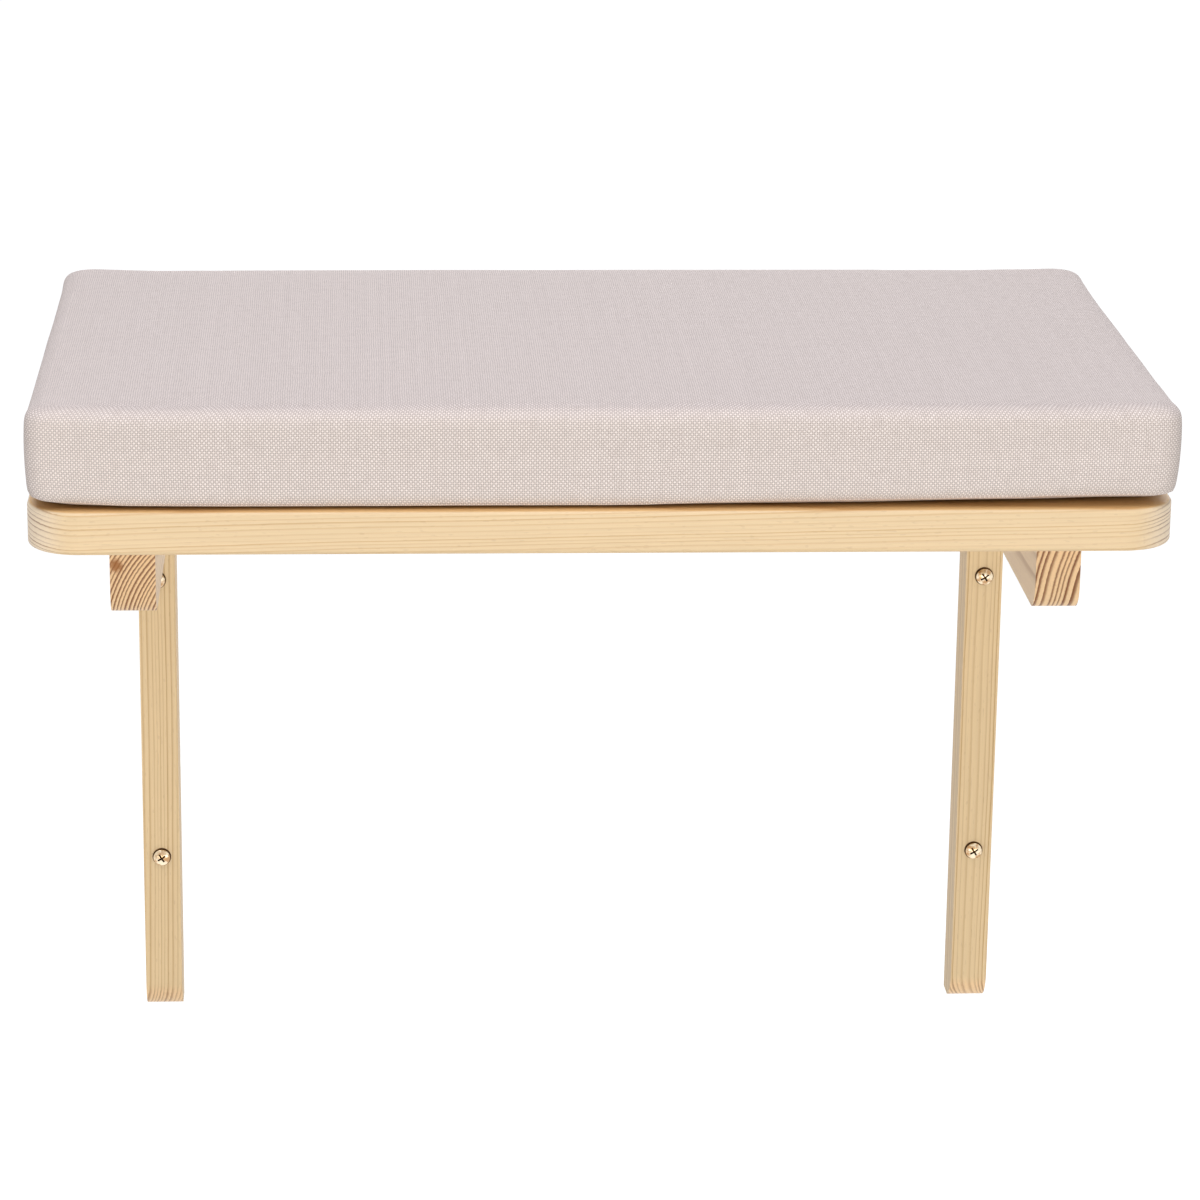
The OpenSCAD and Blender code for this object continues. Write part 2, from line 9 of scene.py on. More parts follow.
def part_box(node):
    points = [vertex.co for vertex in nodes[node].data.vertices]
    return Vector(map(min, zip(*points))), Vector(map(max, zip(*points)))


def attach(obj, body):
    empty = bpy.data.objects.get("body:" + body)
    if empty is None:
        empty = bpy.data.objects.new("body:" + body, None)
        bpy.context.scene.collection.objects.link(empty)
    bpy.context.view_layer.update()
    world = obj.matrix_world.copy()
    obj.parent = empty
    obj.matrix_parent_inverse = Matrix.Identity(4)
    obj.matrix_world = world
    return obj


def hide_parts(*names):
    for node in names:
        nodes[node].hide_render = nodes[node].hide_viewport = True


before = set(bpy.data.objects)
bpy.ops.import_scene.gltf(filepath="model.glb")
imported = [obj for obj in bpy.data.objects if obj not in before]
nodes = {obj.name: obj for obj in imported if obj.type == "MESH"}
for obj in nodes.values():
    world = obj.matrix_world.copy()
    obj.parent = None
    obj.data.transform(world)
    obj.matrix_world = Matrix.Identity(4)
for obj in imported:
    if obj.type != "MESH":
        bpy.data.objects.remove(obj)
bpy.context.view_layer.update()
mm = 0.001
slack = 0.01  # places closer than this, in mm, are the same
quarters = ((-1, -1), (1, -1), (1, 1), (-1, 1))  # signs of the four corners, once round
print("frame loaded")

# Small helpers


def linear(hexColour):
    # sRGB hex to the linear colour that shaders take
    parts = [int(hexColour[i:i + 2], 16) / 255 for i in (1, 3, 5)]
    return [p / 12.92 if p <= 0.04045 else ((p + 0.055) / 1.055) ** 2.4 for p in parts] + [1]


def addNode(tree, kind, inputs=(), stops=(), **settings):
    # Adds a node, sets its properties and the stops of its ramp, and fills its inputs in order or by name.
    # A hex colour is made linear, and a node given as an input stands for its first output.
    node = tree.nodes.new("ShaderNode" + kind)
    for name, value in settings.items():
        setattr(node, name, value)
    if stops:
        ramp = node.color_ramp.elements
        while len(ramp) < len(stops):
            ramp.new(0.5)
        for element, (place, shade) in zip(ramp, stops):
            element.position = place
            element.color = linear(shade) if isinstance(shade, str) else (shade, shade, shade, 1)
    for key, value in inputs.items() if isinstance(inputs, dict) else enumerate(inputs):
        if isinstance(key, int):
            socket = node.inputs[key]
        else:
            socket = next(s for s in node.inputs if s.enabled and s.name == key)
        if isinstance(value, bpy.types.Node):
            value = next(s for s in value.outputs if s.enabled)
        if isinstance(value, bpy.types.NodeSocket):
            tree.links.new(value, socket)
        else:
            socket.default_value = linear(value) if isinstance(value, str) else value
    return node


def newMaterial(name):
    # An empty node material and its tree
    material = bpy.data.materials.new(name)
    material.use_nodes = True
    material.node_tree.nodes.clear()
    return material, material.node_tree


def patternedMaterial(name, kind, pattern, stops, shader, bump=None, invert=False, **settings):
    # A material whose colour is one texture seen through a ramp; bump is its strength and its depth in mm
    material, tree = newMaterial(name)
    place = addNode(tree, "TexCoord").outputs["Object"]
    texture = addNode(tree, kind, {"Vector": place, **pattern}, **settings)
    value = texture.outputs["Fac"] if kind == "TexWave" else texture
    inputs = {"Base Color": addNode(tree, "ValToRGB", [value], stops), **shader}
    if bump:
        strength, depth = bump
        inputs["Normal"] = addNode(tree, "Bump", {
            "Height": value, "Strength": strength, "Distance": depth * mm}, invert=invert)
    addNode(tree, "OutputMaterial", [addNode(tree, "BsdfPrincipled", inputs)])
    return material


def setMaterial(piece, material):
    piece.data.materials.clear()
    piece.data.materials.append(material)
    for polygon in piece.data.polygons:
        polygon.material_index = 0


def inScene(name, data):
    # A new object in the scene
    made = bpy.data.objects.new(name, data)
    bpy.context.scene.collection.objects.link(made)
    return made


def newPiece(name, form, material, body, slot, *replaced, sharp=35):
    # A finished piece that rides on a body, from a mesh or from a shape in mm
    piece = inScene(name, form if isinstance(form, bpy.types.Mesh) else meshFrom(name, form, sharp))
    setMaterial(piece, material)
    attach(piece, body)
    if replaced:
        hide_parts(*replaced)
    return piece


def boxInMm(nodeName):
    # The lowest and the highest corner of a CAD node
    return [np.array(corner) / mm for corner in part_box(nodeName)]


def asMesh(name, points, faces):
    # A plain mesh in metres from points in mm
    mesh = bpy.data.meshes.new(name)
    inMetres = [tuple(float(v) * mm for v in p) for p in points]
    mesh.from_pydata(inMetres, [], [[int(i) for i in f] for f in faces])
    return mesh


def meshFrom(name, shape, sharp=35):
    # A smooth shaded mesh of a shape, with its faces turned outwards
    mesh = asMesh(name, *shape)
    form = bmesh.new()
    form.from_mesh(mesh)
    bmesh.ops.recalc_face_normals(form, faces=form.faces)
    form.to_mesh(mesh)
    form.free()
    smoothMesh(mesh, sharp)
    return mesh


def smoothMesh(mesh, sharp):
    # Smooth shading, with edges over the angle kept sharp
    form = bmesh.new()
    form.from_mesh(mesh)
    for face in form.faces:
        face.smooth = True
    for edge in form.edges:
        edge.smooth = len(edge.link_faces) < 2 or edge.calc_face_angle(0) < math.radians(sharp)
    form.to_mesh(mesh)
    form.free()


def pointsOf(mesh):
    # The points of a mesh in mm
    co = np.zeros(len(mesh.vertices) * 3)
    mesh.vertices.foreach_get("co", co)
    return co.reshape(-1, 3) / mm


def joinShapes(shapes):
    # Several shapes, each a list of points and one of faces, as one
    points, faces = [], []
    for shapePoints, shapeFaces in shapes:
        start = len(points)
        points += [tuple(p) for p in shapePoints]
        faces += [[i + start for i in f] for f in shapeFaces]
    return points, faces


def placed(shape, matrix):
    points, faces = shape
    return [matrix @ Vector(p) for p in points], faces


def placedCopies(mesh, matrices):
    # One shape with a copy of a mesh at each place
    shape = [v.co.copy() / mm for v in mesh.vertices], [list(p.vertices) for p in mesh.polygons]
    return joinShapes([placed(shape, matrix) for matrix in matrices])


def applied(name, mesh, kind, **settings):
    # The mesh after a modifier
    holder = inScene(name, mesh)
    modifier = holder.modifiers.new(kind, kind)
    for key, value in settings.items():
        setattr(modifier, key, value)
    bpy.context.view_layer.update()
    result = bpy.data.meshes.new_from_object(holder.evaluated_get(bpy.context.evaluated_depsgraph_get()))
    bpy.data.objects.remove(holder)
    result.name = name
    return result


def cutAway(mesh, cutters):
    # Takes closed cutter shapes out of a mesh, one after the other
    for number, cutter in enumerate(cutters):
        tool = inScene("cutter", meshFrom("cutter", cutter))
        name = f"{mesh.name}Cut{number}"
        mesh = applied(name, mesh, "BOOLEAN", object=tool, operation="DIFFERENCE", solver="EXACT")
        bpy.data.objects.remove(tool)
    return mesh


def lathe(profile, steps, radiusAt=None):
    # Closed solid round +Z from (radius, height) pairs; radiusAt can change a radius by height and angle
    points = [(0, 0, profile[0][1])]
    for radius, height in profile:
        for s in range(steps):
            angle = 2 * math.pi * s / steps
            r = radiusAt(radius, height, angle) if radiusAt else radius
            points.append((r * math.cos(angle), r * math.sin(angle), height))
    points.append((0, 0, profile[-1][1]))
    last = len(points) - 1
    faces = []
    for s in range(steps):
        nextStep = (s + 1) % steps
        faces.append([0, 1 + nextStep, 1 + s])
        for k in range(len(profile) - 1):
            a, b = 1 + k * steps + s, 1 + k * steps + nextStep
            faces.append([a, b, b + steps, a + steps])
        faces.append([last, last - steps + s, last - steps + nextStep])
    return points, faces


def extruded(outline, low, high):
    # A flat outline made solid between two heights
    count = len(outline)
    points = [(x, y, low) for x, y in outline] + [(x, y, high) for x, y in outline]
    sides = [[i, (i + 1) % count, count + (i + 1) % count, count + i] for i in range(count)]
    return points, [list(range(count))[::-1], list(range(count, 2 * count))] + sides


def rounded(low, high, radius, steps=6):
    # Points of a rectangle with round corners
    corners = [(high[0] - radius, low[1] + radius, -90), (high[0] - radius, high[1] - radius, 0),
               (low[0] + radius, high[1] - radius, 90), (low[0] + radius, low[1] + radius, 180)]
    turns = [(x, y, math.radians(start + 90 * s / steps))
             for x, y, start in corners for s in range(steps + 1)]
    return [(x + radius * math.cos(turn), y + radius * math.sin(turn)) for x, y, turn in turns]


def tube(path, radii, sides):
    # A round tube through a list of points
    path = [Vector(p) for p in path]
    last = len(path) - 1
    points, faces = [], []
    normal = (path[1] - path[0]).normalized().orthogonal().normalized()
    for k, (centre, radius) in enumerate(zip(path, radii)):
        along = (path[min(k + 1, last)] - path[max(k - 1, 0)]).normalized()
        normal = (normal - along * normal.dot(along)).normalized()
        across = along.cross(normal)
        for s in range(sides):
            angle = 2 * math.pi * s / sides
            points.append(centre + radius * (math.cos(angle) * normal + math.sin(angle) * across))
    for k in range(last):
        for s in range(sides):
            a, b = k * sides + s, k * sides + (s + 1) % sides
            faces.append([a, b, b + sides, a + sides])
    return points, faces + [list(range(sides))[::-1], list(range(last * sides, (last + 1) * sides))]


# Timber

pine = {
    # Colours of early and late wood on long faces and on end grain; how far late lines show in the faintest
    # and in the boldest year; where late wood starts in a ring of end grain; how far a face has turned where
    # end grain shows
    "board": {
        # the board's end-grain early wood is paler than its face, painted light that keeps the rounded
        # corners bright where they turn from the lamps
        "early": "#EED3A6", "late": "#CB9F63", "endEarly": "#FFEBCB", "endLate": "#8A5526",
        "long": (0.1, 0.75), "end": (0.6, 1.0), "lateFrom": 0.66, "endFrom": (0.12, 0.8), "specular": 0.35},
    "bracket": {
        # the bracket's end-grain early wood is paler than its faces, painted light that keeps the arm ends
        # bright under the board
        "early": "#EDD2A4", "late": "#BC945B", "endEarly": "#FCD8A7", "endLate": "#763C08",
        "long": (0.22, 0.85), "end": (0.86, 1.0), "lateFrom": 0.43, "endFrom": (0.04, 0.5), "specular": 0.2},
    # Length along the grain and width across it of slow waves, fibres and resin ducts; fibres and ducts are
    # drawn coarser than real ones, so that they show
    "wave": (180, 45), "fibre": (25, 0.8), "duct": (4, 0.7),
    # Wide and narrow years take turns over a length, and ring lines are a little ragged; a bold year's late
    # wood starts sooner on end grain
    "yearsLength": 7, "yearsBy": 0.9, "raggedPerMm": 0.7, "raggedBy": 0.55, "raggedSquash": 0.04,
    "seasonBy": 0.22, "seasonFrom": -0.15,
    "stripTurn": 2.4, "stripShift": 24.0,  # each glued strip sits elsewhere in its log
    "knotColour": "#9A5A16", "knotFrom": 3.2, "knotTo": 6.6, "knotRagged": 4.0,
    "relief": 0.06, "sharpAngle": 25,
}

# How each piece was sawn from the log: grain axis, centre of the rings and its drift along the grain,
# ring width
cuts = {
    "platform_board": {
        "wood": "board", "grain": "X", "centre": (-284, 75), "drift": (0.0, 0.02), "ring": 2.1, "wave": 5.0,
        # face: colour multiplied into the board's upper face, painted shade that darkens and warms the top
        # under the cushion
        "lamella": 61.2, "front": -305, "face": "#F7E3C0"},
    # the arms' paler early wood is painted light: it brightens their inner sides, which lie in shade
    "left_arm": {
        "wood": "bracket", "grain": "Y", "centre": (-162, 117), "drift": (0.01, 0.01), "ring": 1.75,
        "wave": 2.0, "early": "#F8E0BC", "knot": (-222.5, -250, 149.5)},
    "right_arm": {
        "wood": "bracket", "grain": "Y", "centre": (322, 121), "drift": (0.01, 0.01), "ring": 2.7,
        "wave": 2.0, "early": "#F8E0BC"},
    "left_leg": {
        "wood": "bracket", "grain": "Z", "centre": (-130, 6), "drift": (0.004, 0.004), "ring": 2.0,
        "wave": 3.0, "end": (0.35, 0.65)},
    "right_leg": {
        "wood": "bracket", "grain": "Z", "centre": (128, 22), "drift": (0.004, 0.004), "ring": 2.45,
        # tone 1.04 is painted light: the right leg is made paler because the board shades it from the high
        # lamp
        "wave": 3.0, "end": (0.35, 0.65), "tone": 1.04},
}


def pineMaterial(name, cut):
    # Pine, planed and clear matt lacquered: pale early wood, thin amber late wood, dark on the end grain
    wood = pine[cut["wood"]]
    material, tree = newMaterial(name)
    place = addNode(tree, "TexCoord")
    inMm = addNode(tree, "VectorMath", {0: place.outputs["Object"], "Scale": 1 / mm}, operation="SCALE")
    parts = addNode(tree, "SeparateXYZ", [inMm])
    order = {"X": (0, 1, 2), "Y": (1, 0, 2), "Z": (2, 0, 1)}[cut["grain"]]
    along, across, deep = (parts.outputs[i] for i in order)

    def stretched(long, wide):
        # The place, counted in cells that are long along the grain and narrow across it
        return addNode(tree, "CombineXYZ", [
            addNode(tree, "Math", [part, 1 / size], operation="MULTIPLY")
            for part, size in ((along, long), (across, wide), (deep, wide))])

    # Distance to the heart of the log, which drifts along the grain and wanders slowly
    tones = []
    wave = addNode(tree, "TexNoise", {"Vector": stretched(*pine["wave"]), "Scale": 1.0, "Detail": 1.0})
    wander = addNode(tree, "Math", [wave, 0.5], operation="SUBTRACT")
    wander = addNode(tree, "Math", [wander, cut["wave"]], operation="MULTIPLY")
    heartA, heartB = (addNode(tree, "Math", [along, drift, centre], operation="MULTIPLY_ADD")
                      for drift, centre in zip(cut["drift"], cut["centre"]))
    if "lamella" in cut:  # the board is glued up from strips, each from another part of the log
        strip = addNode(tree, "Math", [across, -cut["front"]], operation="ADD")
        strip = addNode(tree, "Math", [strip, cut["lamella"]], operation="DIVIDE")
        strip = addNode(tree, "Math", [strip], operation="FLOOR")
        shift = addNode(tree, "Math", [strip, pine["stripTurn"]], operation="MULTIPLY")
        shift = addNode(tree, "Math", [shift], operation="SINE")
        shift = addNode(tree, "Math", [shift, pine["stripShift"]], operation="MULTIPLY")
        shift = addNode(tree, "Math", [strip, cut["lamella"], shift], operation="MULTIPLY_ADD")
        heartA = addNode(tree, "Math", [heartA, shift], operation="ADD")
        stripTone = addNode(tree, "TexWhiteNoise", {"W": strip}, noise_dimensions="1D").outputs["Value"]
        tones.append(addNode(tree, "MapRange", {"Value": stripTone, "To Min": 0.97, "To Max": 1.0}))
    sideA = addNode(tree, "Math", [across, heartA], operation="SUBTRACT")
    sideB = addNode(tree, "Math", [deep, heartB], operation="SUBTRACT")
    flat = addNode(tree, "CombineXYZ", [sideA, sideB, 0.0])
    radius = addNode(tree, "VectorMath", [flat], operation="LENGTH").outputs["Value"]
    radius = addNode(tree, "Math", [radius, wander], operation="ADD")
    squash = [pine["raggedSquash"] if axis == order[0] else 1 for axis in range(3)]
    ragged = addNode(tree, "VectorMath", [inMm, squash], operation="MULTIPLY")
    ragged = addNode(tree, "TexNoise", {"Vector": ragged, "Scale": pine["raggedPerMm"], "Detail": 2.0})
    radius = addNode(tree, "Math", [ragged, pine["raggedBy"], radius], operation="MULTIPLY_ADD")

    # Rings, some years wide and some narrow; late wood comes with the season, sooner on end grain
    years = addNode(tree, "TexNoise", {
        "W": radius, "Scale": 1 / pine["yearsLength"], "Detail": 0.0}, noise_dimensions="1D")
    ring = addNode(tree, "Math", [radius, 1 / cut["ring"]], operation="MULTIPLY")
    ring = addNode(tree, "Math", [years, pine["yearsBy"], ring], operation="MULTIPLY_ADD")
    season = addNode(tree, "Math", [ring], operation="FRACT")
    year = addNode(tree, "Math", [ring], operation="FLOOR")
    strength = addNode(tree, "TexWhiteNoise", {"W": year}, noise_dimensions="1D").outputs["Value"]
    seasonShift = addNode(tree, "Math", [
        strength, pine["seasonBy"], pine["seasonFrom"]], operation="MULTIPLY_ADD")
    endSeason = addNode(tree, "Math", [season, seasonShift], operation="ADD", use_clamp=True)
    lateLong = addNode(tree, "ValToRGB", [season], [
        (0.0, 0.25), (0.06, 0.0), (0.5, 0.03), (0.7, 0.35), (0.86, 1.0), (0.95, 0.9), (1.0, 0.25)])
    lateFrom = wood["lateFrom"]
    lateEnd = addNode(tree, "ValToRGB", [endSeason], [
        (0.0, 0.3), (0.05, 0.0), (lateFrom, 0.08), (lateFrom + 0.22, 0.8),
        (0.86, 1.0), (0.95, 1.0), (1.0, 0.3)])

    # End grain shows where the surface faces along the grain
    facingParts = addNode(tree, "SeparateXYZ", [place.outputs["Normal"]])
    facing = addNode(tree, "Math", [facingParts.outputs[order[0]]], operation="ABSOLUTE")
    endFrom, endTo = wood["endFrom"]
    endGrain = addNode(tree, "MapRange", {
        "Value": facing, "From Min": endFrom, "From Max": endTo}, interpolation_type="SMOOTHSTEP")
    lines = []
    for late, (faint, bold) in ((lateLong, wood["long"]), (lateEnd, cut.get("end", wood["end"]))):
        show = addNode(tree, "MapRange", {"Value": strength, "To Min": faint, "To Max": bold})
        lines.append(addNode(tree, "Math", [late, show], operation="MULTIPLY"))
    amount = addNode(tree, "Mix", {"Factor": endGrain, "A": lines[0], "B": lines[1]})

    # Colour, with pale and dark fibres and short resin ducts
    fibre = addNode(tree, "TexNoise", {
        "Vector": stretched(*pine["fibre"]), "Scale": 1.0, "Detail": 3.0, "Roughness": 0.6})
    duct = addNode(tree, "TexNoise", {"Vector": stretched(*pine["duct"]), "Scale": 1.0, "Detail": 0.0})
    duct = addNode(tree, "MapRange", {
        "Value": duct, "From Min": 0.7, "From Max": 0.78, "To Min": 0.0, "To Max": 0.1})
    # a cut's own early colour is painted light: the arms' paler early wood brightens their shaded sides
    shades = (cut.get("early", wood["early"]), wood["endEarly"]), (wood["late"], wood["endLate"])
    # end-grain early wood is paler than on the faces: painted light for corners and ends turned from the
    # lamps
    early, late = (addNode(tree, "Mix", {"Factor": endGrain, "A": onFace, "B": onEnd}, data_type="RGBA")
                   for onFace, onEnd in shades)
    colour = addNode(tree, "Mix", {"Factor": amount, "A": early, "B": late}, data_type="RGBA")
    colour = addNode(tree, "Mix", {"Factor": duct, "A": colour, "B": wood["endLate"]}, data_type="RGBA")
    tone = addNode(tree, "MapRange", {
        "Value": fibre, "From Min": 0.25, "From Max": 0.75, "To Min": 0.955, "To Max": 1.035})
    tones.append(addNode(tree, "MapRange", {
        "Value": wave, "From Min": 0.3, "From Max": 0.7, "To Min": 0.97, "To Max": 1.02}))
    # painted light: a piece's tone makes it paler where it gets less light
    if "tone" in cut:
        tones.append(cut["tone"])
    for other in tones:
        tone = addNode(tree, "Math", [tone, other], operation="MULTIPLY")
    colour = addNode(tree, "VectorMath", {0: colour, "Scale": tone}, operation="SCALE")
    if "face" in cut:  # painted shade: the upper face is tinted darker and more amber, standing for the warm shade under the cushion's edge
        upward = addNode(tree, "MapRange", {
            "Value": facingParts.outputs[2], "From Min": 0.7, "From Max": 0.98})
        topShadeTint = addNode(tree, "Mix", {"Factor": upward, "A": "#FFFFFF", "B": cut["face"]}, data_type="RGBA")
        colour = addNode(tree, "VectorMath", [colour, topShadeTint], operation="MULTIPLY")
    if "knot" in cut:  # a small resin-brown knot on the end
        gap = addNode(tree, "VectorMath", [inMm, cut["knot"]], operation="DISTANCE").outputs["Value"]
        blot = addNode(tree, "TexNoise", {"Vector": inMm, "Scale": 0.6, "Detail": 2.0})
        blot = addNode(tree, "Math", [blot, pine["knotRagged"], gap], operation="MULTIPLY_ADD")
        blot = addNode(tree, "MapRange", {
            "Value": blot, "From Min": pine["knotFrom"], "From Max": pine["knotTo"],
            "To Min": 0.85, "To Max": 0.0}, interpolation_type="SMOOTHSTEP")
        colour = addNode(tree, "Mix", {
            "Factor": blot, "A": colour, "B": pine["knotColour"]}, data_type="RGBA")

    # Late wood is denser, so it is a little glossier and stands up a little
    rough = addNode(tree, "MapRange", {"Value": amount, "To Min": 0.5, "To Max": 0.4})
    height = addNode(tree, "Math", [fibre, 0.5, amount], operation="MULTIPLY_ADD")
    bump = addNode(tree, "Bump", {"Height": height, "Strength": 0.25, "Distance": pine["relief"] * mm})
    surface = addNode(tree, "BsdfPrincipled", {
        "Base Color": colour, "Roughness": rough, "Normal": bump, "IOR": 1.5,
        "Specular IOR Level": wood["specular"], "Coat Weight": 0.1, "Coat Roughness": 0.35})
    addNode(tree, "OutputMaterial", [surface])
    return material


for nodeName, cut in cuts.items():
    setMaterial(nodes[nodeName], pineMaterial(f"lacqueredPine_{nodeName}", cut))
    smoothMesh(nodes[nodeName].data, pine["sharpAngle"])
print("timber finished")

# Metals

# Bright and dull colours; grit is the size of the tumbling marks, drawn coarser than real so that they show
metals = {
    # the brass's dull colour is partly a duller plating film and partly painted reflection
    "brassPlatedSteel": {"colour": "#F6E6C8", "dull": "#B4834E", "roughness": 0.2, "grit": 2.2},
    # a dark brass, painted shade for the screw recess and under the head's edge
    "paintedShadeBrass": {"colour": "#5E4220", "dull": "#38260F", "roughness": 0.5, "grit": 1.2},
    "zincPlatedSteel": {"colour": "#C9CBCD", "dull": "#9A9DA2", "roughness": 0.34, "grit": 1.6},
    "nickelPlatedZinc": {"colour": "#CFCDC8", "dull": "#A8A6A2", "roughness": 0.28, "grit": 1.4},
}
plating = {
    "patch": 3.0, "patchFrom": 0.44, "patchTo": 0.62, "dullBy": 0.85, "roughBy": (-0.07, 0.1), "relief": 0.03,
}


def metalMaterial(name, look):
    # Barrel plated metal: bright, with faint tumbling marks and a duller film in random patches; on the brass
    # heads these patches also stand in for darker reflections, a painted reflection
    material, tree = newMaterial(name)
    place = addNode(tree, "TexCoord").outputs["Object"]
    filmAndReflection = addNode(tree, "TexNoise", {"Vector": place, "Scale": 1 / (plating["patch"] * mm), "Detail": 3.0})
    marks = addNode(tree, "TexNoise", {"Vector": place, "Scale": 4 / (look["grit"] * mm), "Detail": 4.0})
    share = addNode(tree, "MapRange", {
        "Value": filmAndReflection, "From Min": plating["patchFrom"], "From Max": plating["patchTo"],
        "To Max": plating["dullBy"]})
    colour = addNode(tree, "Mix", {"Factor": share, "A": look["colour"], "B": look["dull"]}, data_type="RGBA")
    smoothest, roughest = (look["roughness"] + by for by in plating["roughBy"])
    rough = addNode(tree, "MapRange", {"Value": filmAndReflection, "To Min": smoothest, "To Max": roughest})
    bump = addNode(tree, "Bump", {"Height": marks, "Strength": 0.2, "Distance": plating["relief"] * mm})
    surface = addNode(tree, "BsdfPrincipled", {
        "Base Color": colour, "Metallic": 1.0, "Roughness": rough, "Normal": bump})
    addNode(tree, "OutputMaterial", [surface])
    return material


brass, hollowShadeBrass, zinc, nickel = (metalMaterial(name, look) for name, look in metals.items())

# Hook and loop pads

# Nylon pile on a woven tape: rows of tiny hooks or loops that scatter light
pile = {
    "hook_pads": {"name": "nylonHookPile", "tip": "#DDD5CB", "root": "#A79E94", "pitch": 1.3, "deep": 0.3},
    "loop_pads": {"name": "nylonLoopPile", "tip": "#D9D0C6", "root": "#B4ABA1", "pitch": 0.8, "deep": 0.2},
}
for nodeName, look in pile.items():
    setMaterial(nodes[nodeName], patternedMaterial(
        look["name"], "TexVoronoi", {"Scale": 1 / (look["pitch"] * mm), "Randomness": 0.6},
        [(0.1, look["tip"]), (0.6, look["root"])],
        {"Roughness": 0.8, "IOR": 1.53, "Sheen Weight": 0.3, "Sheen Roughness": 0.5},
        bump=(0.8, look["deep"]), invert=True))

# Screws

screws = {
    "steps": 48, "stepsPerTurn": 9, "domeSteps": 9, "middle": 0.02, "point": 0.1,
    "ridge": 0.22, "ridgeFade": 1.6, "coreTaper": 0.8,  # the thread: half its width in turns, its run out
    "wall": {
        "shank": 1.8, "core": 1.5, "thread": 2.25, "pitch": 2.2, "length": 50, "threadFrom": 25.2, "tip": 6.3,
        "headR": 4.65, "headH": 3.2, "domeR": 4.15, "domeDrop": 1.35, "sideR": 4.38, "recessDeep": 1.984},
    "corner": {
        "shank": 3.15, "core": 2.2, "thread": 3.2, "pitch": 3.2, "length": 60, "threadFrom": 25, "tip": 4.5,
        "headR": 5.0, "headH": 0, "recessDeep": 1.6},
    "board": {
        "shank": 1.95, "core": 1.35, "thread": 2.0, "pitch": 1.9, "length": 45, "threadFrom": 20.5,
        "tip": 2.8, "headR": 4.0, "headH": 0, "recessDeep": 1.3},
    # The cross recess on a head of the wall screws' radius, narrower towards its floor
    "recess": {
        "turn": 57, "topLong": 0.62, "lowLong": 0.22, "topWide": 1.05, "lowWide": 0.6,
        "over": 0.4, "flare": 0.6},
    # Where the painted shade goes: steep walls and the floor within a share of the head, and under its edge
    "hollow": {"steep": 0.8, "reach": 0.66, "floorDown": 0.8, "edgeDown": 0.25, "flangeDown": 0.1},
}


def threadRadius(s):
    # The radius of a screw at a height and an angle: a thin sharp ridge wound round a core
    def radiusAt(radius, height, angle):
        if height < s["threadFrom"]:
            return radius
        runIn = min(1, (height - s["threadFrom"]) / s["pitch"])
        runOut = min(1, (s["length"] - height) / s["tip"])
        turn = (height / s["pitch"] - angle / (2 * math.pi)) % 1
        ridge = max(0, 1 - abs(turn - 0.5) / screws["ridge"])
        core = s["core"] * runOut ** screws["coreTaper"]
        return core + (s["thread"] - s["core"]) * ridge * runIn * min(1, runOut * screws["ridgeFade"])
    return radiusAt


def screwShape(s, head, shankFrom):
    # Turned round +Z: a head's profile, the shank, and rings close together along the thread to the point
    threadLong = s["length"] - s["threadFrom"]
    heights = [shankFrom + (s["threadFrom"] - shankFrom) * i / 3 for i in range(4)]
    count = int(threadLong / (s["pitch"] / screws["stepsPerTurn"]))
    heights += [s["threadFrom"] + threadLong * i / count for i in range(1, count)]
    shank = [(s["shank"], height) for height in heights]
    return lathe(head + shank + [(screws["point"], s["length"])], screws["steps"], threadRadius(s))


def panScrew(s):
    # Low dome, rolled edge, side and flange, as radii and heights
    top, edge = -s["headH"], s["domeDrop"] - s["headH"]
    shares = [i / screws["domeSteps"] for i in range(1, screws["domeSteps"] + 1)]
    dome = [(screws["middle"], top)]
    dome += [(s["domeR"] * share, top + s["domeDrop"] * share ** 2) for share in shares]
    roll = [(s["domeR"] + 0.11, edge + 0.08), (s["domeR"] + 0.19, edge + 0.22), (s["sideR"], edge + 0.42)]
    flange = [(s["sideR"] + 0.02, -0.5), (s["headR"] - 0.1, -0.42), (s["headR"], -0.3), (s["headR"], -0.08),
              (s["headR"] - 0.08, 0), (s["shank"], 0)]
    return screwShape(s, dome + roll + flange, 0.2)


def countersunkScrew(s):
    # Flat face, thin edge and cone
    slope = s["headR"] - s["shank"]
    head = [(screws["middle"], 0), (s["headR"] * 0.5, 0), (s["headR"] - 0.12, 0), (s["headR"], 0.1),
            (s["shank"] + 0.15, slope)]
    return screwShape(s, head, slope + 0.3)


def recessCutters(s):
    # Two tapered blades across each other, the form of a cross recess
    look = screws["recess"]
    size = s["headR"] / screws["wall"]["headR"]
    blades = []
    for turn in (0, 90):
        long, short = s["headR"] * look["topLong"], s["headR"] * look["lowLong"]
        wide, narrow = look["topWide"] / 2 * size, look["lowWide"] / 2 * size
        flare = 1 + look["over"] / s["recessDeep"] * look["flare"]  # runs past the head, so the cut is open
        points = [(x * long * flare, y * wide, -s["headH"] - look["over"]) for x, y in quarters]
        points += [(x * short, y * narrow, -s["headH"] + s["recessDeep"]) for x, y in quarters]
        faces = [[0, 1, 2, 3], [7, 6, 5, 4], [0, 4, 5, 1], [1, 5, 6, 2], [2, 6, 7, 3], [3, 7, 4, 0]]
        blades.append(placed((points, faces), Matrix.Rotation(math.radians(turn + look["turn"]), 4, "Z")))
    return blades


def addScrews(name, kind, shapeOf, places, material, slot, nodeName):
    # A set of equal screws; returns one of them too
    head = cutAway(meshFrom(name, shapeOf(screws[kind])), recessCutters(screws[kind]))
    return newPiece(name, placedCopies(head, places), material, "perch", slot, nodeName, sharp=30), head


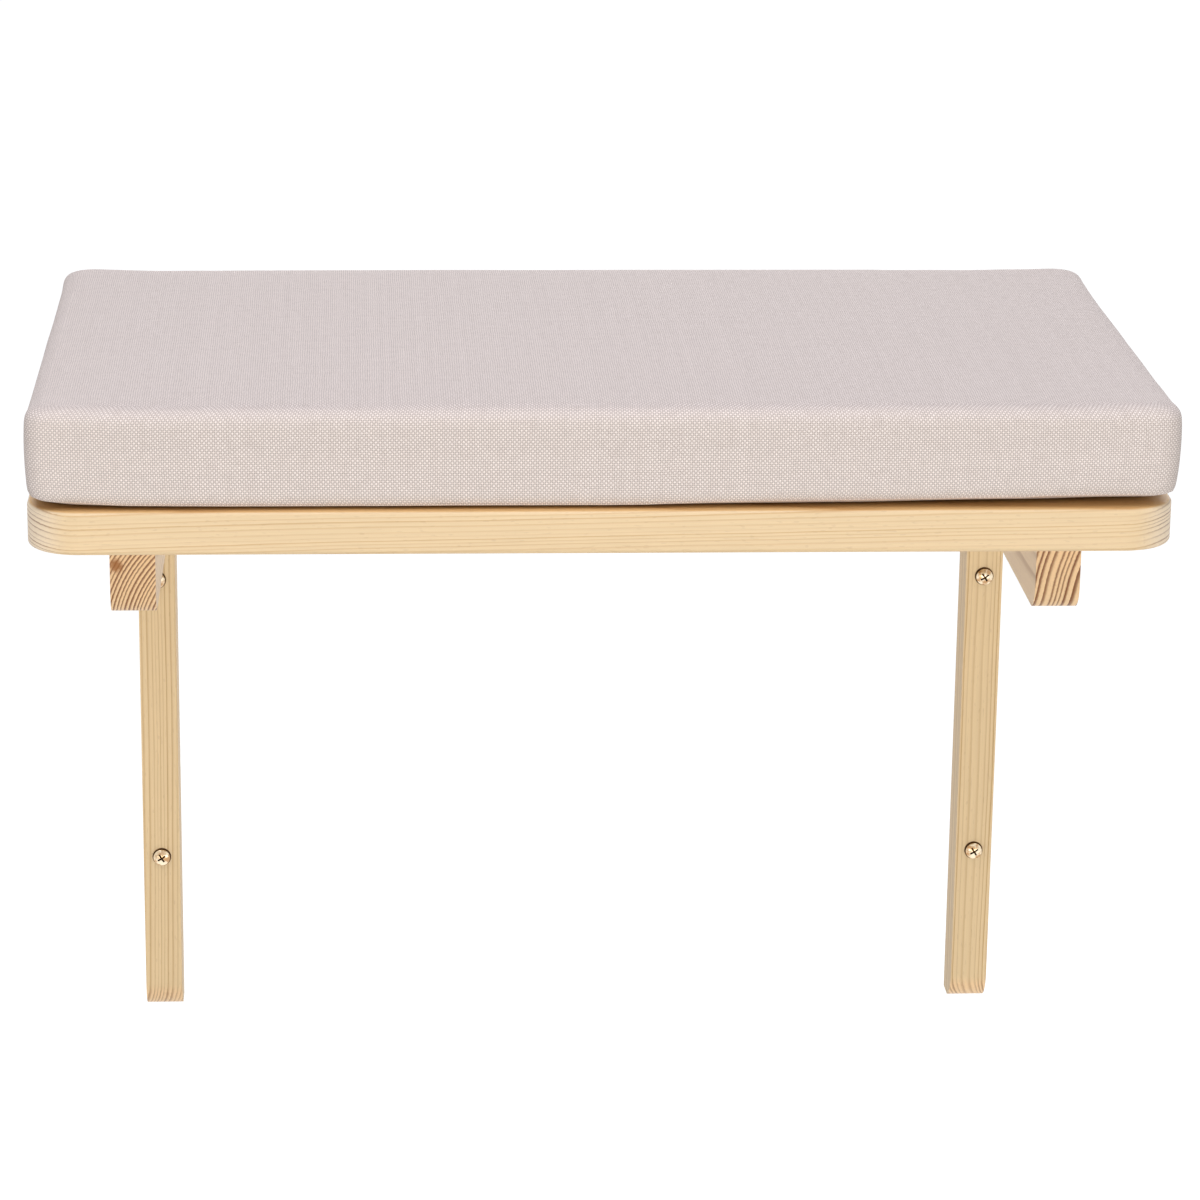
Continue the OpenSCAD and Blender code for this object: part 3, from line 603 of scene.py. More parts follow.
def paintHollowShade(piece, head, s):
    # The recess and the edge under the head take a dark brass: painted shade in the hollows and under the rim
    piece.data.materials.append(hollowShadeBrass)
    look = screws["hollow"]
    edge = s["domeDrop"] - s["headH"] + look["edgeDown"]
    hollow = []
    for polygon in head.polygons:
        middle = polygon.center / mm
        across = math.hypot(middle.x, middle.y)
        turnedOrDeep = abs(polygon.normal.z) < look["steep"] or middle.z > -s["headH"] + look["floorDown"]
        inRecess = middle.z < 0 and across < s["headR"] * look["reach"] and turnedOrDeep
        underRim = across > s["domeR"] and edge < middle.z < look["flangeDown"]
        hollow.append(1 if inRecess or underRim else 0)
    for number, polygon in enumerate(piece.data.polygons):
        polygon.material_index = hollow[number % len(hollow)]


intoWall, outOfWall, down = (Matrix.Rotation(math.radians(turn), 4, "X") for turn in (-90, 90, 180))
low, high = boxInMm("wall_screws")
wallX, wallZ = high[0] - screws["wall"]["headR"], high[2] - screws["wall"]["headR"]
legFront = boxInMm("right_leg")[0][1]
wallPlaces = [Matrix.Translation((x, legFront, z)) @ intoWall
              for x in (-wallX, wallX) for z in (-wallZ, wallZ)]
wallScrews, wallHead = addScrews(
    "brassWallScrews", "wall", panScrew, wallPlaces, brass, "brass_screw", "wall_screws")
paintHollowShade(wallScrews, wallHead, screws["wall"])

# A thin dark ring round each wall screw's head, proud of the leg by a hair: painted shadow where the head
# meets the wood
screwShadowRing = {"steps": 48, "out": 0.25, "in": 0.3, "flat": 0.1, "inProud": 0.03, "outProud": 0.05}
ringOut, ringIn = screws["wall"]["headR"] + screwShadowRing["out"], screws["wall"]["headR"] - screwShadowRing["in"]
profile = [(ringIn, 0.0), (ringIn, -screwShadowRing["inProud"]), (ringOut - screwShadowRing["flat"], -screwShadowRing["outProud"]),
           (ringOut, 0.0)]
turns = [2 * math.pi * k / screwShadowRing["steps"] for k in range(screwShadowRing["steps"])]
ringPoints = [(r * math.cos(turn), r * math.sin(turn), height) for turn in turns for r, height in profile]
ringFaces = [[4 * k + c, 4 * k + (c + 1) % 4, 4 * ahead + (c + 1) % 4, 4 * ahead + c]
             for k, ahead in enumerate([*range(1, screwShadowRing["steps"]), 0]) for c in range(4)]
rings = joinShapes([placed((ringPoints, ringFaces), place) for place in wallPlaces])
# Painted shadow round a screw head: mottled dark brown, half matt
screwShadowPaint = patternedMaterial(
    "paintedScrewShadow", "TexNoise", {"Scale": 1.5 / mm, "Detail": 2.0},
    [(0.3, "#4A3014"), (0.7, "#7E5A30")], {"Roughness": 0.6, "IOR": 1.5})
newPiece("paintedScrewShadowRings", rings, screwShadowPaint, "perch", "pine_bracket")

low, high = boxInMm("corner_screws")
cornerX, cornerZ = high[0] - screws["corner"]["headR"], (low[2] + high[2]) / 2
cornerPlaces = [Matrix.Translation((x, high[1], cornerZ)) @ outOfWall for x in (-cornerX, cornerX)]
addScrews("zincCornerScrews", "corner", countersunkScrew, cornerPlaces, zinc, "zinc_screw", "corner_screws")

low, high = boxInMm("board_screws")
headR = screws["board"]["headR"]
boardX = high[0] - headR
boardPlaces = [Matrix.Translation((x, y, high[2])) @ down
               for x in (-boardX, boardX) for y in (low[1] + headR, high[1] - headR)]
addScrews("zincBoardScrews", "board", countersunkScrew, boardPlaces, zinc, "zinc_screw", "board_screws")
print("screws made")

# Dowels

dowels = {
    "flutes": 16, "stepsPerFlute": 6, "fluteDepth": 0.22, "fluteFrom": 0.3, "chamfer": 1.0, "endIn": 0.7,
}
# Beech, turned and left dry: pinkish tan with short darker rays
beech = patternedMaterial(
    "turnedBeech", "TexNoise", {"Scale": 1.4 / mm, "Detail": 2.0},
    [(0.3, "#DDBE92"), (0.62, "#D2AE80"), (0.72, "#A9794C")], {"Roughness": 0.7, "IOR": 1.5})


def flutedDowel(radius, length):
    def radiusAt(r, height, angle):
        flute = max(0, math.cos(dowels["flutes"] * angle)) ** 2
        return r - dowels["fluteDepth"] * flute * (r > radius - dowels["fluteFrom"])
    end, ends = radius - dowels["endIn"], dowels["chamfer"]
    profile = [(end, 0), (radius, ends), (radius, length / 2), (radius, length - ends), (end, length)]
    return lathe(profile, dowels["flutes"] * dowels["stepsPerFlute"], radiusAt)


low, high = boxInMm("corner_dowels")
radius = high[0] - cornerX
dowel = flutedDowel(radius, high[1] - low[1])
shapes = [placed(dowel, Matrix.Translation((x, low[1], z)) @ intoWall)
          for x in (-cornerX, cornerX) for z in (low[2] + radius, high[2] - radius)]
newPiece("beechCornerDowels", joinShapes(shapes), beech, "perch", "beech_dowel", "corner_dowels")
low, high = boxInMm("board_dowels")
radius = high[0] - boardX
dowel = flutedDowel(radius, high[2] - low[2])
shapes = [placed(dowel, Matrix.Translation((x, y, low[2])))
          for x in (-boardX, boardX) for y in (low[1] + radius, high[1] - radius)]
newPiece("beechBoardDowels", joinShapes(shapes), beech, "perch", "beech_dowel", "board_dowels")
print("dowels made")

# Cushion

cushion = {
    "cell": 5.0, "cornerCells": 3, "cornerR": 11, "cornerEase": 0.7,
    "topR": 7.5, "topAngles": (0, 22.5, 45, 67.5, 90),
    "lowIn": 12, "lowUp": 4.3, "lowAngles": (0, 26, 48, 68, 90),
    "crown": 3.0, "drawIn": 0.6, "endBulge": {"left": 1.4, "right": 2.6}, "bulgeAt": 0.62,
    "lift": {"left": 2.4, "right": 3.5}, "liftPower": {"left": 8.0, "right": 1.3}, "rightCornerFill": 0.6,
    "slotHalfHeight": 5.0, "slotPlay": 0.1, "hem": 1.2, "hemFirst": 0.3, "hemTurn": 0.15,
    # The cloth stays flat this far past the opening, under its stitches, and then swells freely over a length
    "flatPast": 3.5, "calmFrom": 6, "calmOver": 12, "calmPast": 8, "backBand": 3, "backProud": 1.5,
    "shrink": 0.9, "pressure": 4.0, "bending": 0.5, "quality": 5, "cap": 1.1, "frames": 20,
    "pinnedUpTo": 1.2, "unshrunkUpTo": 3, "openingAbove": 12,  # heights over the board
    "seamAngle": 35, "seamSpread": 6, "seamDepth": 0.8, "seamLips": (-0.25, -0.2), "seamOut": 0.25,
    "pucker": 0.4, "puckerLength": 7, "sway": 0.25, "topSwayLength": 70, "sideSwayLength": 45,
    "foamInset": 1.7, "foamCell": 0.9,
}
coverLow, coverHigh = boxInMm("cover_top")
cushionZ = boxInMm("cover_base")[0][2]
tapeHigh = boxInMm("zip_tape_lower")[1]
zipZ = (boxInMm("zip_tape_lower")[0][2] + boxInMm("zip_tape_upper")[1][2]) / 2
slotHalfX = tapeHigh[0] + cushion["slotPlay"]
cushionHalf = np.array([coverHigh[0], (coverHigh[1] - coverLow[1]) / 2])
cushionMidY = (coverHigh[1] + coverLow[1]) / 2
cushionHeight = coverHigh[2] - cushion["crown"] - cushionZ


def gridLines(half, stops):
    # Lines across the cushion: a fixed place and a share of the corner's radius added to it
    middle = half - cushion["cornerR"]
    marks = sorted({-middle, middle, *stops})
    places = []
    for a, b in zip(marks, marks[1:]):
        count = max(1, round((b - a) / cushion["cell"]))
        places += [a + (b - a) * i / count for i in range(count)]
    cells = cushion["cornerCells"]
    lowEnd = [(-middle, -k / cells) for k in range(cells, 0, -1)]
    highEnd = [(middle, k / cells) for k in range(1, cells + 1)]
    return np.array(lowEnd + [(p, 0) for p in places] + [(middle, 0)] + highEnd)


def planGrid(inset, filled=False):
    # The grid seen from above, drawn in from the full outline, with true round corners that stay wide
    ease = cushion["cornerEase"] * inset
    radius = cushion["cornerR"] - inset + ease
    easeX, easeY = (1 - ease / (half - cushion["cornerR"]) for half in cushionHalf)
    atX, shareX = xLines[None, :, 0] * easeX, xLines[None, :, 1]
    atY, shareY = yLines[:, None, 0] * easeY, yLines[:, None, 1]
    x = atX + radius * shareX * np.sqrt(1 - shareY ** 2 / 2)
    y = atY + radius * shareY * np.sqrt(1 - shareX ** 2 / 2)
    # The lower front corner on the right is filled more, as the photograph shows
    fill = cushion["rightCornerFill"] * inset if filled else 0
    near = np.where((x > 0) & (y < 0), abs(x / cushionHalf[0]) ** 10 * abs(y / cushionHalf[1]) ** 6, 0)
    return x + fill * near, y - fill * near


def formed(x, y, z):
    # Crown, drawn-in front, bulged ends and a lifted lower front edge
    halfX, halfY = cushionHalf
    u, v = np.minimum(1, abs(x) / halfX), np.minimum(1, abs(y) / halfY)
    up = z / cushionHeight
    bow = np.cos(np.pi / 2 * np.minimum(1, abs(x) / (halfX - cushion["cornerR"]))) ** 2
    newY = y + cushion["drawIn"] * bow * v ** 3 * (y < 0)
    bulges, bulgeAt = cushion["endBulge"], cushion["bulgeAt"]
    bulge = np.where(x < 0, -bulges["left"], bulges["right"]) * (1 - ((up - bulgeAt) / bulgeAt) ** 2) * u ** 3
    lifts, powers = cushion["lift"], cushion["liftPower"]
    lift = np.where(x < 0, lifts["left"] * u ** powers["left"], lifts["right"] * u ** powers["right"])
    newZ = z + cushion["crown"] * up * (1 - u ** 2) * (1 - v ** 2) + lift * (1 - up) * v ** 8
    return np.stack([x + bulge, newY + cushionMidY, newZ + cushionZ], -1)


def rim(grid):
    # The border of a grid, once round from the front left corner
    return np.concatenate([grid[0, :-1], grid[:-1, -1], grid[-1, :0:-1], grid[:0:-1, 0]])


def setRim(grid, border):
    # Writes such a border back
    along, across = grid.shape[:2]
    grid[0, :-1] = border[:across - 1]
    grid[:-1, -1] = border[across - 1:across + along - 2]
    grid[-1, :0:-1] = border[across + along - 2:2 * across + along - 3]
    grid[:0:-1, 0] = border[2 * across + along - 3:]


xLines = gridLines(cushionHalf[0], (-slotHalfX, slotHalfX))
yLines = gridLines(cushionHalf[1], ())
slotLow, slotHigh = (zipZ - cushionZ + s * cushion["slotHalfHeight"] for s in (-1, 1))
topR, lowIn, lowUp, flatPast = (cushion[key] for key in ("topR", "lowIn", "lowUp", "flatPast"))

# Rows down the side, each an inset and a height: the top edge's rounding, the zip's opening,
# the lower edge's rounding
levels = [(topR * (1 - math.sin(a)), cushionHeight - topR * (1 - math.cos(a)))
          for a in np.radians(cushion["topAngles"])]
levels += [(0, height) for height in (
    (cushionHeight - topR + slotHigh + flatPast) / 2, slotHigh + flatPast, slotHigh, (slotHigh + slotLow) / 2,
    slotLow, slotLow - flatPast, (lowUp + slotLow - flatPast) / 2)]
levels += [(lowIn * (1 - math.cos(a)), lowUp * (1 - math.sin(a))) for a in np.radians(cushion["lowAngles"])]

topX, topY = planGrid(topR)
topGrid = formed(topX, topY, np.full_like(topX, cushionHeight))
baseX, baseY = planGrid(lowIn, True)
baseGrid = formed(baseX, baseY, np.zeros_like(baseX))
sideRows = []
for inset, height in levels:
    x, y = planGrid(inset, height < lowUp + slack)
    sideRows.append(formed(rim(x), rim(y), np.full(len(rim(x)), height)))
sideRows = np.array(sideRows)


def coverMesh(name, top, rows, base, uvRows, skip=None):
    # One mesh of grids in mm: top or base may be left out; the cloth's own flat coordinates go in a UV map
    ring = rows.shape[1]
    index = np.arange(rows.shape[0] * ring).reshape(rows.shape[:2])
    points, faces, places = list(rows.reshape(-1, 3)), [], []
    for k in range(rows.shape[0] - 1):
        for p in range(ring):
            if skip and skip(k, p):
                continue
            q = (p + 1) % ring
            faces.append([index[k, p], index[k + 1, p], index[k + 1, q], index[k, q]])
            places.append([uvRows[k, p], uvRows[k + 1, p], uvRows[k + 1, p + 1], uvRows[k, p + 1]])
    for grid, border, turn in ((top, index[0], 1), (base, index[-1], -1)):
        if grid is None:
            continue
        inner = grid[1:-1, 1:-1]
        count = inner.shape[0] * inner.shape[1]
        gridIndex = np.full(grid.shape[:2], -1)
        gridIndex[1:-1, 1:-1] = (len(points) + np.arange(count)).reshape(inner.shape[:2])
        setRim(gridIndex, border)
        points += list(inner.reshape(-1, 3))
        for j in range(grid.shape[0] - 1):
            for i in range(grid.shape[1] - 1):
                corners = [(j, i), (j, i + 1), (j + 1, i + 1), (j + 1, i)][::turn]
                faces.append([gridIndex[c] for c in corners])
                places.append([(grid[c][0] - coverLow[0], grid[c][1] - coverLow[1] - topR) for c in corners])
    mesh = asMesh(name, points, faces)
    layer = mesh.uv_layers.new(name="flatCloth")
    layer.data.foreach_set("uv", np.array([c for f in places for c in f], float).ravel() * mm)
    mesh.shade_smooth()
    return mesh


def uvOf(rows):
    # Flat cloth coordinates of the rows: the way round at the widest row, and the way down
    widest = rows[len(rows) // 2]
    step = np.linalg.norm(np.roll(widest, -1, 0) - widest, axis=1)
    around = np.concatenate([[0], np.cumsum(step)])
    frontPoint = cushion["cornerCells"] + 2
    around += widest[frontPoint, 0] - coverLow[0] - around[frontPoint]
    down = np.concatenate([[0], np.cumsum(np.linalg.norm(np.diff(rows[:, frontPoint], axis=0), axis=1))])
    return np.stack(np.broadcast_arrays(around[None, :], -down[:, None]), -1)


def outward(row):
    # Horizontal direction out of a closed row
    ahead = np.roll(row, -1, 0) - np.roll(row, 1, 0)
    out = np.stack([ahead[:, 1], -ahead[:, 0], np.zeros(len(row))], -1)
    return out / np.maximum(np.linalg.norm(out, axis=1, keepdims=True), 1e-9)


def inflated(points, faces, pinned):
    # Lets the cover swell over its foam: cloth with pressure and no gravity
    cloth = inScene("cushionCloth", asMesh("cushionCloth", points, faces))
    group = cloth.vertex_groups.new(name="pinned")
    group.add([int(i) for i in pinned], 1.0, "REPLACE")
    modifier = cloth.modifiers.new("cloth", "CLOTH")
    settings = modifier.settings
    settings.quality = cushion["quality"]
    settings.use_pressure = True
    settings.uniform_pressure_force = cushion["pressure"]
    settings.effector_weights.gravity = 0
    settings.vertex_group_mass = "pinned"
    settings.bending_stiffness = cushion["bending"]
    modifier.collision_settings.use_collision = False
    for number in range(1, cushion["frames"] + 1):
        bpy.context.scene.frame_set(number)
    result = pointsOf(cloth.evaluated_get(bpy.context.evaluated_depsgraph_get()).data)
    bpy.data.objects.remove(cloth)
    bpy.context.scene.frame_set(1)
    return result


def swollen(top, rows, base):
    # Runs the cloth on the whole cushion and returns its grids after it has swelled
    whole = coverMesh("wholeCushion", top, rows, base, uvOf(rows))
    points = pointsOf(whole)
    middle = np.array([0, cushionMidY, cushionZ + cushionHeight / 2])
    share = np.clip((points - middle) / np.array([*cushionHalf, cushionHeight / 2]), -1, 1)
    start = points - cushion["shrink"] * np.sign(share) * abs(share) ** 4
    start[:, 2] = np.where(points[:, 2] < cushionZ + cushion["unshrunkUpTo"], points[:, 2], start[:, 2])
    onBase = np.nonzero(points[:, 2] < cushionZ + cushion["pinnedUpTo"])[0]
    moved = inflated(start, [list(p.vertices) for p in whole.polygons], onBase) - start
    length = np.linalg.norm(moved, axis=1, keepdims=True)
    print(f"cushion swelled by up to {length.max():.1f} mm")
    cap = cushion["cap"]
    points = start + moved * cap * np.tanh(length / cap) / np.maximum(length, 1e-6)
    count = rows.shape[0] * rows.shape[1]
    newRows = points[:count].reshape(rows.shape)
    grids = []
    for grid, border in ((top, newRows[0]), (base, newRows[-1])):
        inner = grid[1:-1, 1:-1].shape
        new = grid.copy()
        new[1:-1, 1:-1] = points[count:count + inner[0] * inner[1]].reshape(inner)
        setRim(new, border)
        count += inner[0] * inner[1]
        grids.append(new)
    return grids[0], newRows, grids[1]


topGrid, sideRows, baseGrid = swollen(topGrid, sideRows, baseGrid)
print("cushion formed")


def unevenness(points, amount, length):
    # Slow waves, as a real cover has over its foam, and fast ones where a seam puckers
    return np.array([amount * noise.noise(Vector(p) / length) for p in points])


sway = unevenness(topGrid.reshape(-1, 3), cushion["sway"], cushion["topSwayLength"])
topGrid[..., 2] += sway.reshape(topGrid.shape[:2])
for row in sideRows:
    row += outward(row) * unevenness(row, cushion["sway"], cushion["sideSwayLength"])[:, None]
sideRows[0] = rim(topGrid)

# The cloth lies flat round the zip and the base lies flat on the board
backY = coverHigh[1]
besideX, besideZ = np.abs(sideRows[..., 0]) - slotHalfX, np.abs(sideRows[..., 2] - zipZ)
distance = np.maximum(besideX, besideZ - cushion["slotHalfHeight"])
calm = np.clip((distance - cushion["calmFrom"]) / cushion["calmOver"], 0, 1)
onBack = sideRows[..., 1] > backY - cushion["backBand"]
calmed = np.minimum(backY + calm * (sideRows[..., 1] - backY), backY + cushion["backProud"])
sideRows[..., 1] = np.where(onBack, calmed, sideRows[..., 1])
slotRows = [k for k, (inset, height) in enumerate(levels) if slotLow - slack < height < slotHigh + slack]
slotEnds = [i for i, line in enumerate(xLines) if abs(abs(line[0]) - slotHalfX) < slack and line[1] == 0]
acrossBack = 2 * (len(xLines) - 1) + len(yLines) - 1  # a row's point on line i of the back is this less i
for k in slotRows:
    near = onBack[k] & (abs(sideRows[k, :, 0]) < slotHalfX + cushion["calmPast"])
    sideRows[k, near, 2] = cushionZ + levels[k][1]
    for i in slotEnds:
        sideRows[k, acrossBack - i, 0] = xLines[i, 0]
baseGrid[..., 2] = np.maximum(baseGrid[..., 2], cushionZ)
sideRows[-1] = rim(baseGrid)

# The seam between side and base: extra rows, the middle one pulled in, with small puckers along it
lowAngles = cushion["lowAngles"]
first = len(sideRows) - len(lowAngles) + 1
lips = [(-cushion["seamSpread"], cushion["seamLips"][0]), (0, cushion["seamDepth"]),
        (cushion["seamSpread"], cushion["seamLips"][1])]
extra = []
for turn, depth in lips:
    angle = cushion["seamAngle"] + turn
    share = (angle - lowAngles[1]) / (lowAngles[2] - lowAngles[1])
    row = (1 - share) * sideRows[first] + share * sideRows[first + 1]
    angle = math.radians(angle)
    direction = outward(row) * math.cos(angle) - np.array([0, 0, 1]) * math.sin(angle)
    pucker = unevenness(row, cushion["pucker"], cushion["puckerLength"])
    tuck = depth + pucker if depth > 0 else depth + 0.6 * np.roll(pucker, 1)
    extra.append(row - direction * (tuck[:, None] - cushion["seamOut"]))
sideRows = np.concatenate([sideRows[:first + 1], extra, sideRows[first + 1:]])
sideRows[..., 2] = np.maximum(sideRows[..., 2], cushionZ)
seamRow = first + 2
uvRows = uvOf(sideRows)


def inSlot(k, p):
    # True for the faces of the opening in the back
    i = acrossBack - p
    if not (slotRows[0] <= k < slotRows[-1] and 0 < i < len(xLines)):
        return False
    (fromX, fromCorner), (toX, toCorner) = xLines[i - 1], xLines[i]
    return -slotHalfX - slack < fromX and toX < slotHalfX + slack and fromCorner == 0 and toCorner == 0


def hemmed(mesh):
    # Turns the edge of the opening inwards as a narrow hem
    form = bmesh.new()
    form.from_mesh(mesh)
    aboveSeam = (cushionZ + cushion["openingAbove"]) * mm
    border = [e for e in form.edges if e.is_boundary and all(v.co.z > aboveSeam for v in e.verts)]
    for depth, turn in ((cushion["hemFirst"], cushion["hemTurn"]), (cushion["hem"] - cushion["hemFirst"], 0)):
        made = bmesh.ops.extrude_edge_only(form, edges=border)["geom"]
        for v in (g for g in made if isinstance(g, bmesh.types.BMVert)):
            v.co.y -= depth * mm
            v.co.z += turn * mm * (1 if v.co.z < zipZ * mm else -1)
        border = [g for g in made if isinstance(g, bmesh.types.BMEdge) and g.is_boundary]
    bmesh.ops.recalc_face_normals(form, faces=form.faces)
    form.to_mesh(mesh)
    form.free()
    mesh.shade_smooth()
    return mesh


linen = {
    "thread": 1.03,  # spacing of the threads, as the photograph shows it
    "light": "#F6EBE1", "shade": "#D8CBC1", "fleck": "#BBADA2", "depth": 0.14,
    # In threads: how far yarns wander and over what length, and how long and thick the slubs are
    "wander": 0.9, "wanderLength": 12.5, "slubLong": 0.09, "slubPer": 0.9, "fleckPer": 0.22,
}


def linenMaterial():
    # Linen look fabric, plain woven from slubby two-tone yarn: cream and grey-pink dots, softly matt
    material, tree = newMaterial("plainWovenLinen")
    place = addNode(tree, "UVMap", uv_map="flatCloth")
    inThreads = addNode(tree, "VectorMath", {
        0: place, "Scale": 1 / (linen["thread"] * mm)}, operation="SCALE")
    wander = addNode(tree, "TexNoise", {
        "Vector": inThreads, "Scale": 1 / linen["wanderLength"], "Detail": 1.0}).outputs["Color"]
    wander = addNode(tree, "VectorMath", [wander, (0.5, 0.5, 0.5)], operation="SUBTRACT")
    wander = addNode(tree, "VectorMath", {0: wander, "Scale": linen["wander"]}, operation="SCALE")
    thread = addNode(tree, "VectorMath", [inThreads, wander], operation="ADD")
    parts = addNode(tree, "SeparateXYZ", [thread])

    # Warp and weft go over and under; each yarn has its own tone, and slubs make it paler or darker
    waves, slubs = [], []
    for i, stretch in enumerate(((1.0, linen["slubLong"], 1.0), (linen["slubLong"], 1.0, 1.0))):
        turn = addNode(tree, "Math", [parts.outputs[i], math.pi], operation="MULTIPLY")
        waves.append(addNode(tree, "Math", [turn], operation="SINE"))
        number = addNode(tree, "Math", [parts.outputs[i]], operation="FLOOR")
        yarn = addNode(tree, "TexWhiteNoise", {"W": number}, noise_dimensions="1D").outputs["Value"]
        lanes = addNode(tree, "VectorMath", [thread, stretch], operation="MULTIPLY")
        lanes = addNode(tree, "TexNoise", {"Vector": lanes, "Scale": linen["slubPer"], "Detail": 1.0})
        slubs.append(addNode(tree, "Math", [lanes, yarn], operation="ADD"))
    weave = addNode(tree, "Math", waves, operation="MULTIPLY")
    lift = addNode(tree, "Math", [weave], operation="ABSOLUTE")
    over = addNode(tree, "MapRange", {"Value": weave, "From Min": -0.25, "From Max": 0.35})
    yarnTone = addNode(tree, "Mix", {"Factor": over, "A": slubs[1], "B": slubs[0]})
    fleck = addNode(tree, "TexNoise", {"Vector": inThreads, "Scale": linen["fleckPer"], "Detail": 2.0})
    fleck = addNode(tree, "MapRange", {"Value": fleck, "From Min": 0.42, "From Max": 0.75, "To Max": 0.22})
    light = addNode(tree, "Mix", {
        "Factor": fleck, "A": linen["light"], "B": linen["fleck"]}, data_type="RGBA")
    colour = addNode(tree, "Mix", {"Factor": over, "A": linen["shade"], "B": light}, data_type="RGBA")
    tone = addNode(tree, "MapRange", {
        "Value": yarnTone, "From Min": 0.3, "From Max": 1.7, "To Min": 0.96, "To Max": 1.04})
    # painted shade: the colour darkens to 0.4 in the gaps where the threads dip under each other
    threadGapShade = addNode(tree, "MapRange", {"Value": lift, "From Max": 0.2, "To Min": 0.4, "To Max": 1.0})
    tone = addNode(tree, "Math", [tone, threadGapShade], operation="MULTIPLY")
    colour = addNode(tree, "VectorMath", {0: colour, "Scale": tone}, operation="SCALE")
    height = addNode(tree, "Math", [lift, 0.5], operation="POWER")
    bump = addNode(tree, "Bump", {"Height": height, "Strength": 0.45, "Distance": linen["depth"] * mm})
    surface = addNode(tree, "BsdfPrincipled", {
        "Base Color": colour, "Roughness": 0.88, "Normal": bump, "IOR": 1.5, "Specular IOR Level": 0.25,
        "Sheen Weight": 0.12, "Sheen Roughness": 0.5})
    addNode(tree, "OutputMaterial", [surface])
    return material


def finer(name, mesh):
    return applied(name, mesh, "SUBSURF", levels=1, render_levels=1, boundary_smooth="PRESERVE_CORNERS")


linenCloth = linenMaterial()
topCover = coverMesh("coverTop", topGrid, sideRows[:seamRow + 1], None, uvRows[:seamRow + 1], inSlot)
cover = newPiece(
    "linenCover", hemmed(finer("linenCover", topCover)), linenCloth, "cushion", "linen_cover", "cover_top")

grip = {"long": 61.0, "wide": 26.0, "cornerCut": 1.8, "turnedIn": 0.55, "seamInset": 1.8}
loopLow, loopHigh = boxInMm("loop_pads")
gripHalf = (grip["long"] / 2, grip["wide"] / 2)
gripCentres = [(x, y) for x in (loopLow[0] + gripHalf[0], loopHigh[0] - gripHalf[0])
               for y in (loopLow[1] + gripHalf[1], loopHigh[1] - gripHalf[1])]


def cutGripOpenings(mesh):
    # The base has an opening over each loop pad, its corners cut off and its edge turned in
    form = bmesh.new()
    form.from_mesh(mesh)

    def onBase():
        middles = [(f, f.calc_center_median()) for f in form.faces]
        return [(f, middle) for f, middle in middles if middle.z < (cushionZ + 1) * mm]

    for centreX, centreY in gripCentres:
        sides = []
        for signX, signY in ((1, 0), (-1, 0), (0, 1), (0, -1), (1, 1), (1, -1), (-1, 1), (-1, -1)):
            cut = grip["cornerCut"] / 2 if signX and signY else 0
            x, y = centreX + signX * (gripHalf[0] - cut), centreY + signY * (gripHalf[1] - cut)
            sides.append((Vector((x, y, cushionZ)) * mm, Vector((signX, signY, 0)).normalized()))
        for point, normal in sides:
            near = [f for f, middle in onBase()
                    if abs(middle.x / mm - centreX) < gripHalf[0] + cushion["cell"]
                    and abs(middle.y / mm - centreY) < gripHalf[1] + cushion["cell"]]
            parts = {item for f in near for item in (f, *f.edges, *f.verts)}
            bmesh.ops.bisect_plane(form, geom=list(parts), plane_co=point, plane_no=normal)
        inside = [f for f, middle in onBase()
                  if all((middle - point).dot(normal) < 0 for point, normal in sides)]
        edges = {e for f in inside for e in f.edges}
        bmesh.ops.delete(form, geom=inside, context="FACES")
        border = [e for e in edges if e.is_valid and e.is_boundary]
        for item in bmesh.ops.extrude_edge_only(form, edges=border)["geom"]:
            if isinstance(item, bmesh.types.BMVert):
                item.co.z += grip["turnedIn"] * mm
    form.to_mesh(mesh)
    form.free()
    smoothMesh(mesh, 50)
    return mesh


baseCover = finer("linenBase", coverMesh("coverBase", None, sideRows[seamRow:], baseGrid, uvRows[seamRow:]))
newPiece("linenBase", cutGripOpenings(baseCover), linenCloth, "cushion", "linen_cover", "cover_base")


def foamMesh():
    # The foam fills the cover, and keeps clear of the zip's slider
    foamBack = boxInMm("cushion_foam")[1][1] * mm
    inner = coverMesh("foamBlock", topGrid, sideRows, baseGrid, uvRows)
    normals = [v.normal.copy() for v in inner.vertices]
    for v, normal in zip(inner.vertices, normals):
        v.co -= normal * cushion["foamInset"] * mm
        v.co.y = min(v.co.y, foamBack)
    return inner


# Polyurethane foam, a cut block: off-white open cells with no gloss
foam = patternedMaterial(
    "cutPolyurethaneFoam", "TexVoronoi", {"Scale": 1 / (cushion["foamCell"] * mm)},
    [(0.0, "#CFC8B6"), (0.5, "#F0EDE2")], {"Roughness": 0.95, "IOR": 1.45}, bump=(0.6, 0.3))
newPiece("foamBlock", foamMesh(), foam, "cushion", "foam", "cushion_foam")
print("cover sewn")

# Zip

zipLook = {
    "pitch": 1.4, "wire": 0.33, "turnSteps": 12, "wireSides": 5, "coilEnds": 2,
    "headGap": 0.1, "headSquare": 0.4, "flatness": 0.6,  # squared loops that stop just short of the middle
    "stopFrom": 2.6, "stopCorner": 0.6, "stopBevel": 0.25, "bevelAngle": 40,
}
# Polyester zip tape, woven in a fine herringbone: soft slanting ribs, a shade greyer than the linen
tape = patternedMaterial(
    "wovenPolyesterTape", "TexWave", {"Scale": 0.55 / mm, "Distortion": 0.4, "Detail": 1.0},
    [(0.0, "#BDB1A6"), (1.0, "#D9CFC5")],
    {"Roughness": 0.75, "IOR": 1.55, "Sheen Weight": 0.15, "Sheen Roughness": 0.4},
    bump=(0.5, 0.12), wave_type="BANDS", bands_direction="DIAGONAL")
